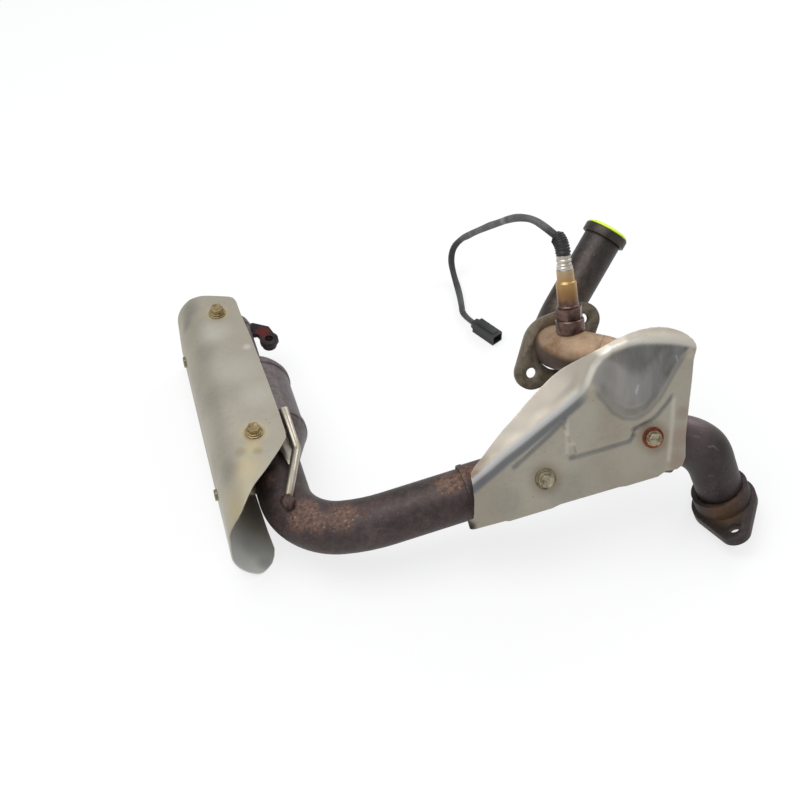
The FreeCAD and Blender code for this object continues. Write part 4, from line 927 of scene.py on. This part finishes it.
class EXHAUST_OT_lead(bpy.types.Operator):
    """Lays the sensor lead from its boot to the connector"""
    bl_idname = "exhaust.lead"
    bl_label = "Sensor lead"

    def execute(self, context):
        black = self.rubber()
        boot = self.boot(black)
        connector = self.connector(black)
        curve = bpy.data.curves.new("lead", "CURVE")
        curve.dimensions = "3D"
        curve.bevel_depth = sizes().lead_radius
        curve.bevel_resolution = 6
        curve.resolution_u = 12
        curve.use_fill_caps = True
        spline = curve.splines.new("NURBS")
        spline.points.add(len(LEAD_POINTS) - 1)
        for index, (knot, (x, y, z)) in enumerate(zip(spline.points, LEAD_POINTS)):
            knot.co = (*point(x, y, z), 1)
            knot.radius = 1.0 + 0.09 * math.sin(index * 2.3) - (0.12 if index > 16 else 0)
        spline.order_u = 3
        spline.use_endpoint_u = True
        item = bpy.data.objects.new("sensor_lead_dressed", curve)
        context.scene.collection.objects.link(item)
        made = Recipe("lead")
        weave = made.noise(700, 3, 0.6)
        dusty = made.noise(26, 4, 0.6).between(0.42, 0.66)
        tone = made.mixed(dusty * 0.75, screen(42, 42, 42), screen(84, 84, 82))
        tone = made.mixed(made.near(point(42, 92, 236), 0.004, 0.016) * 0.7, tone, screen(124, 124, 122))
        tone = made.mixed(made.near(point(68, 46, 268), 0.006, 0.016) * 0.8, tone, screen(86, 86, 86))
        seams = made.noise(120, 4, 0.7).between(0.56, 0.66)
        tone = made.mixed(seams * 0.5, tone, screen(30, 30, 30))
        item.data.materials.append(made.finished(tone, weave * 0.2 + 0.52, 0.0, weave + seams, 0.4, 0.0008))
        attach(item, "root")
        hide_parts("sensor_lead")
        return {"FINISHED"}

    def rubber(self):
        made = Recipe("rubber")
        soft = made.noise(300, 4)
        return made.finished(made.mixed(soft, colours().rubber, (0.018, 0.018, 0.018)), soft * 0.2 + 0.42, 0.0,
                             soft, 0.2, 0.0005)

    def boot(self, finish):
        """Ribbed rubber bellows from the ferrule to the lead."""
        foot = LEAN @ (SENSOR_FOOT + SENSOR_LINE * 0.0885)
        tip = point(*LEAD_POINTS[0])
        ahead = (point(*LEAD_POINTS[1]) - tip).normalized()
        unselect()
        bpy.ops.mesh.primitive_circle_add(vertices=40, radius=0.0062, fill_type="NGON", location=(0, 0, 0))
        item = bpy.context.object
        bpy.ops.object.mode_set(mode="EDIT")
        bpy.ops.mesh.select_all(action="SELECT")
        steps = [(0.02, 1.0)]
        for rib in range(8):
            steps += [(0.022, 1.0), (0.030, 1.13), (0.034, 1.0), (0.026, 0.885)]
        steps += [(0.05, 0.93), (0.10, 0.80), (0.02, 0.9)]
        whole = sum(part for part, _ in steps)
        for part, share in steps:
            bpy.ops.mesh.extrude_region_move(TRANSFORM_OT_translate={"value": (0, 0, part / whole)})
            bpy.ops.transform.resize(value=(share, share, 1), center_override=(0, 0, 0))
        bpy.ops.mesh.select_all(action="SELECT")
        bpy.ops.mesh.normals_make_consistent(inside=False)
        bpy.ops.object.mode_set(mode="OBJECT")
        span = (tip - foot).length
        first = foot + LEAN_LINE * span * 0.45
        second = tip - ahead * span * 0.30
        for vertex in item.data.vertices:
            part = min(1.0, vertex.co.z) * 1.05
            rest = 1 - part
            centre = foot * rest ** 3 + first * 3 * rest ** 2 * part + second * 3 * rest * part ** 2 + tip * part ** 3
            line = ((first - foot) * rest ** 2 + (second - first) * 2 * rest * part + (tip - second) * part ** 2)
            line.normalize()
            u = Vector((1, 0, 0))
            u = (u - line * u.dot(line)).normalized()
            vertex.co = centre + u * vertex.co.x + line.cross(u) * vertex.co.y
        return settled(item, "sensor_boot_dressed", ["sensor_boot"], finish, 50)

    def connector(self, finish):
        """Plug housing with a collar at its back, a latch on its top and an open mouth."""
        line = Vector((7, -7.4, 0)).normalized()
        place = aim(point(28.6, 200.4, 6.4), line, Vector((0, 0, 1)).cross(line))
        unselect()
        bpy.ops.mesh.primitive_cube_add(size=1, location=(0.0155, 0, 0))
        item = bpy.context.object
        item.scale = (0.031, 0.0142, 0.0118)
        bpy.ops.object.transform_apply(location=True, rotation=True, scale=True)
        bpy.ops.object.mode_set(mode="EDIT")
        self.pick(item, lambda face: face.normal.x > 0.9)
        bpy.ops.mesh.inset(thickness=0.0013)
        bpy.ops.mesh.extrude_region_move(TRANSFORM_OT_translate={"value": (-0.006, 0, 0)})
        self.pick(item, lambda face: face.normal.x < -0.9 and face.calc_center_median().x < 0.005)
        bpy.ops.mesh.inset(thickness=0.0016)
        bpy.ops.mesh.extrude_region_move(TRANSFORM_OT_translate={"value": (-0.005, 0, 0)})
        bpy.ops.transform.resize(value=(1, 0.80, 0.85), center_override=(0, 0, 0))
        self.pick(item, lambda face: face.normal.z > 0.9 and face.calc_area() > 0.0003)
        bpy.ops.mesh.inset(thickness=0.0034)
        bpy.ops.mesh.extrude_region_move(TRANSFORM_OT_translate={"value": (0, 0, 0.0010)})
        self.pick(item, lambda face: abs(face.normal.y) > 0.9 and face.calc_area() > 0.0002)
        bpy.ops.mesh.inset(thickness=0.0025, use_individual=True)
        bpy.ops.transform.resize(value=(1, 0.90, 1), center_override=(0, 0, 0))
        bpy.ops.object.mode_set(mode="OBJECT")
        ease = item.modifiers.new("Eased edges", "BEVEL")
        ease.width = 0.0004
        ease.segments = 2
        ease.limit_method = "ANGLE"
        bpy.ops.object.modifier_apply(modifier=ease.name)
        item.data.transform(place)
        return settled(item, "connector_dressed", ["connector"], finish, 30)

    def pick(self, item, wanted):
        """Selects the faces that a test wants, and nothing else."""
        shape = bmesh.from_edit_mesh(item.data)
        for face in shape.faces:
            face.select_set(False)
        for face in shape.faces:
            if wanted(face):
                face.select_set(True)
        bmesh.update_edit_mesh(item.data)


class EXHAUST_OT_fasteners(bpy.types.Operator):
    """Makes the screws, washers and bushes of the heat shields"""
    bl_idname = "exhaust.fasteners"
    bl_label = "Fasteners"

    def execute(self, context):
        brass = self.finish("brass", (164, 146, 108), (112, 92, 64), 0.3)
        dull = self.finish("dull_zinc", (138, 130, 104), (92, 78, 60), 0.5)
        pale = self.finish("pale_zinc", (176, 168, 144), (118, 106, 84), 0.3)
        rusty = self.finish("rusty", (132, 68, 44), (96, 44, 30), 0.9)
        for node in sorted(NODES):
            if "washer" in node or "bush" in node or "screw" in node:
                finish = brass if node.startswith("left") else pale
                if "bush" in node or "side" in node or node == "right_shield_washer_left":
                    finish = dull
                elif node == "right_shield_washer_right":
                    finish = rusty
                sunk = CAN_PLACE.to_3x3() @ Vector((0, 0, 0.0024)) if "screw_side" in node else Vector()
                item = dressed(node, finish, 0.0004, moved=Matrix.Translation(sunk))
                if node.startswith("left_shield_washer"):
                    middle = sum((vertex.co for vertex in item.data.vertices), Vector()) / len(item.data.vertices)
                    smaller = Matrix.Diagonal((0.88, 0.88, 1, 1))
                    item.data.transform(Matrix.Translation(middle) @ smaller @ Matrix.Translation(-middle))
                if "screw" in node and "side" not in node:
                    self.head(item, node)
        return {"FINISHED"}

    def finish(self, name, light, dark, rust):
        made = Recipe(name)
        patch = made.noise(130, 5, 0.7).between(0.42, 0.66)
        tone = made.mixed(patch, screen(*light), screen(*dark))
        fleck = made.specks(420, 0.3) * made.noise(70, 3).between(0.5, 0.66) * rust
        tone = made.mixed(fleck, tone, colours().rust)
        return made.finished(tone, patch * 0.16 + 0.36, 0.85, made.noise(500, 4) + patch, 0.25, 0.0005)

    def head(self, screw, node):
        """A larger hexagon with a dished top over the plain head."""
        line = Vector((0, 0, 1))
        if node.startswith("right"):
            line = PANEL_PLACE.to_3x3() @ Vector((0, 0, 1))
        ends = [vertex.co.dot(line) for vertex in screw.data.vertices]
        top = max(ends)
        crown = [vertex.co for vertex in screw.data.vertices if vertex.co.dot(line) > top - 0.0008]
        centre = sum(crown, Vector()) / len(crown)
        unselect()
        bpy.ops.mesh.primitive_circle_add(vertices=6, radius=0.0064, fill_type="NGON", location=(0, 0, -0.0042))
        item = bpy.context.object
        bpy.ops.object.mode_set(mode="EDIT")
        bpy.ops.mesh.select_all(action="SELECT")
        bpy.ops.mesh.extrude_region_move(TRANSFORM_OT_translate={"value": (0, 0, 0.0056)})
        bpy.ops.mesh.inset(thickness=0.0012)
        bpy.ops.mesh.extrude_region_move(TRANSFORM_OT_translate={"value": (0, 0, -0.0007)})
        bpy.ops.mesh.select_all(action="SELECT")
        bpy.ops.mesh.normals_make_consistent(inside=False)
        bpy.ops.object.mode_set(mode="OBJECT")
        ease = item.modifiers.new("Eased edges", "BEVEL")
        ease.width = 0.0005
        ease.segments = 3
        ease.limit_method = "ANGLE"
        bpy.ops.object.modifier_apply(modifier=ease.name)
        bpy.ops.object.transform_apply(location=True, rotation=True, scale=True)
        side = line.cross(Vector((0.3, 1, 0.2)))
        item.data.transform(aim(centre, side, line.cross(side)))
        item.data.materials.append(screw.data.materials[0])
        unselect()
        item.select_set(True)
        screw.select_set(True)
        bpy.context.view_layer.objects.active = screw
        bpy.ops.object.join()
        bpy.ops.object.shade_smooth_by_angle(angle=math.radians(30))


class EXHAUST_OT_stage(bpy.types.Operator):
    """Sets the floor, the lamps and the camera"""
    bl_idname = "exhaust.stage"
    bl_label = "Stage"

    def execute(self, context):
        unselect()
        bpy.ops.mesh.primitive_plane_add(size=12, location=(0, 0, -0.0004))
        floor = bpy.context.object
        floor.name = "floor"
        made = Recipe("floor")
        paper = made.node("ShaderNodeBsdfDiffuse", {}, {"Color": (0.9, 0.9, 0.9)}, "BSDF")
        white = made.node("ShaderNodeEmission", {}, {"Color": (1, 1, 1), "Strength": 1.0}, "Emission")
        rays = made.tree.nodes.new("ShaderNodeLightPath")
        seen = Link(made, rays.outputs["Is Camera Ray"]) + Link(made, rays.outputs["Is Glossy Ray"])
        seen = seen + Link(made, rays.outputs["Is Transmission Ray"])
        blend = made.node("ShaderNodeMixShader", {}, {0: seen.maths("MINIMUM", 1.0) * 0.72, 1: paper, 2: white}, 0)
        made.node_output(blend)
        floor.data.materials.append(made.material)
        world = bpy.data.worlds.new("studio")
        context.scene.world = world
        world.use_nodes = True
        tree = world.node_tree
        tree.nodes.clear()
        back = tree.nodes.new("ShaderNodeBackground")
        back.inputs["Color"].default_value = (1, 1, 1, 1)
        lit = tree.nodes.new("ShaderNodeBackground")
        lit.inputs["Color"].default_value = (0.95, 0.97, 1, 1)
        lit.inputs["Strength"].default_value = 0.62
        ray = tree.nodes.new("ShaderNodeLightPath")
        choice = tree.nodes.new("ShaderNodeMixShader")
        out = tree.nodes.new("ShaderNodeOutputWorld")
        tree.links.new(ray.outputs["Is Camera Ray"], choice.inputs[0])
        tree.links.new(lit.outputs[0], choice.inputs[1])
        tree.links.new(back.outputs[0], choice.inputs[2])
        tree.links.new(choice.outputs[0], out.inputs["Surface"])
        self.lamp("key", (-0.5, -0.2, 1.5), 1.4, 16)
        self.lamp("rim_light", (0.9, 1.2, 1.1), 1.0, 9)
        bpy.ops.object.camera_add(location=point(-55.32, -969.81, 1060.66), rotation=(math.radians(45), 0, 0))
        camera = bpy.context.object
        camera.data.sensor_width = 36
        camera.data.lens = 36 * 1442.3 / 800
        camera.data.clip_start = 0.01
        context.scene.camera = camera
        context.scene.view_settings.view_transform = "Standard"
        return {"FINISHED"}

    def lamp(self, name, place, across, power):
        bpy.ops.object.light_add(type="AREA", location=place)
        lamp = bpy.context.object
        lamp.name = name
        lamp.data.shape = "DISK"
        lamp.data.size = across
        lamp.data.energy = power
        aim_at = Vector((0, 0, 0.05)) - Vector(place)
        lamp.rotation_euler = aim_at.to_track_quat("-Z", "Y").to_euler()


class EXHAUST_PT_panel(bpy.types.Panel):
    """Lists the pieces of the exhaust system"""
    bl_label = "Exhaust system"
    bl_idname = "EXHAUST_PT_panel"
    bl_space_type = "VIEW_3D"
    bl_region_type = "UI"
    bl_category = "Exhaust"

    def draw(self, context):
        for operator in OPERATORS:
            self.layout.operator(operator.bl_idname)
        for group in (context.scene.exhaust_sizes, context.scene.exhaust_colours):
            for key in group.bl_rna.properties.keys():
                if key not in ("rna_type", "name"):
                    self.layout.prop(group, key)


OPERATORS = [EXHAUST_OT_stage, EXHAUST_OT_left_shield, EXHAUST_OT_right_shield, EXHAUST_OT_pipes,
             EXHAUST_OT_can, EXHAUST_OT_sensor, EXHAUST_OT_lead, EXHAUST_OT_fasteners]
GROUPS = [ExhaustSizes, ExhaustColours]


def register():
    for item in GROUPS + OPERATORS + [EXHAUST_PT_panel]:
        bpy.utils.register_class(item)
    bpy.types.Scene.exhaust_sizes = PointerProperty(type=ExhaustSizes)
    bpy.types.Scene.exhaust_colours = PointerProperty(type=ExhaustColours)


def unregister():
    del bpy.types.Scene.exhaust_sizes
    del bpy.types.Scene.exhaust_colours
    for item in reversed(GROUPS + OPERATORS + [EXHAUST_PT_panel]):
        bpy.utils.unregister_class(item)


def main():
    register()
    unselect()
    bpy.ops.exhaust.stage()
    bpy.ops.exhaust.left_shield()
    bpy.ops.exhaust.right_shield()
    bpy.ops.exhaust.pipes()
    bpy.ops.exhaust.can()
    bpy.ops.exhaust.sensor()
    bpy.ops.exhaust.lead()
    bpy.ops.exhaust.fasteners()


if __name__ == "__main__":
    main()
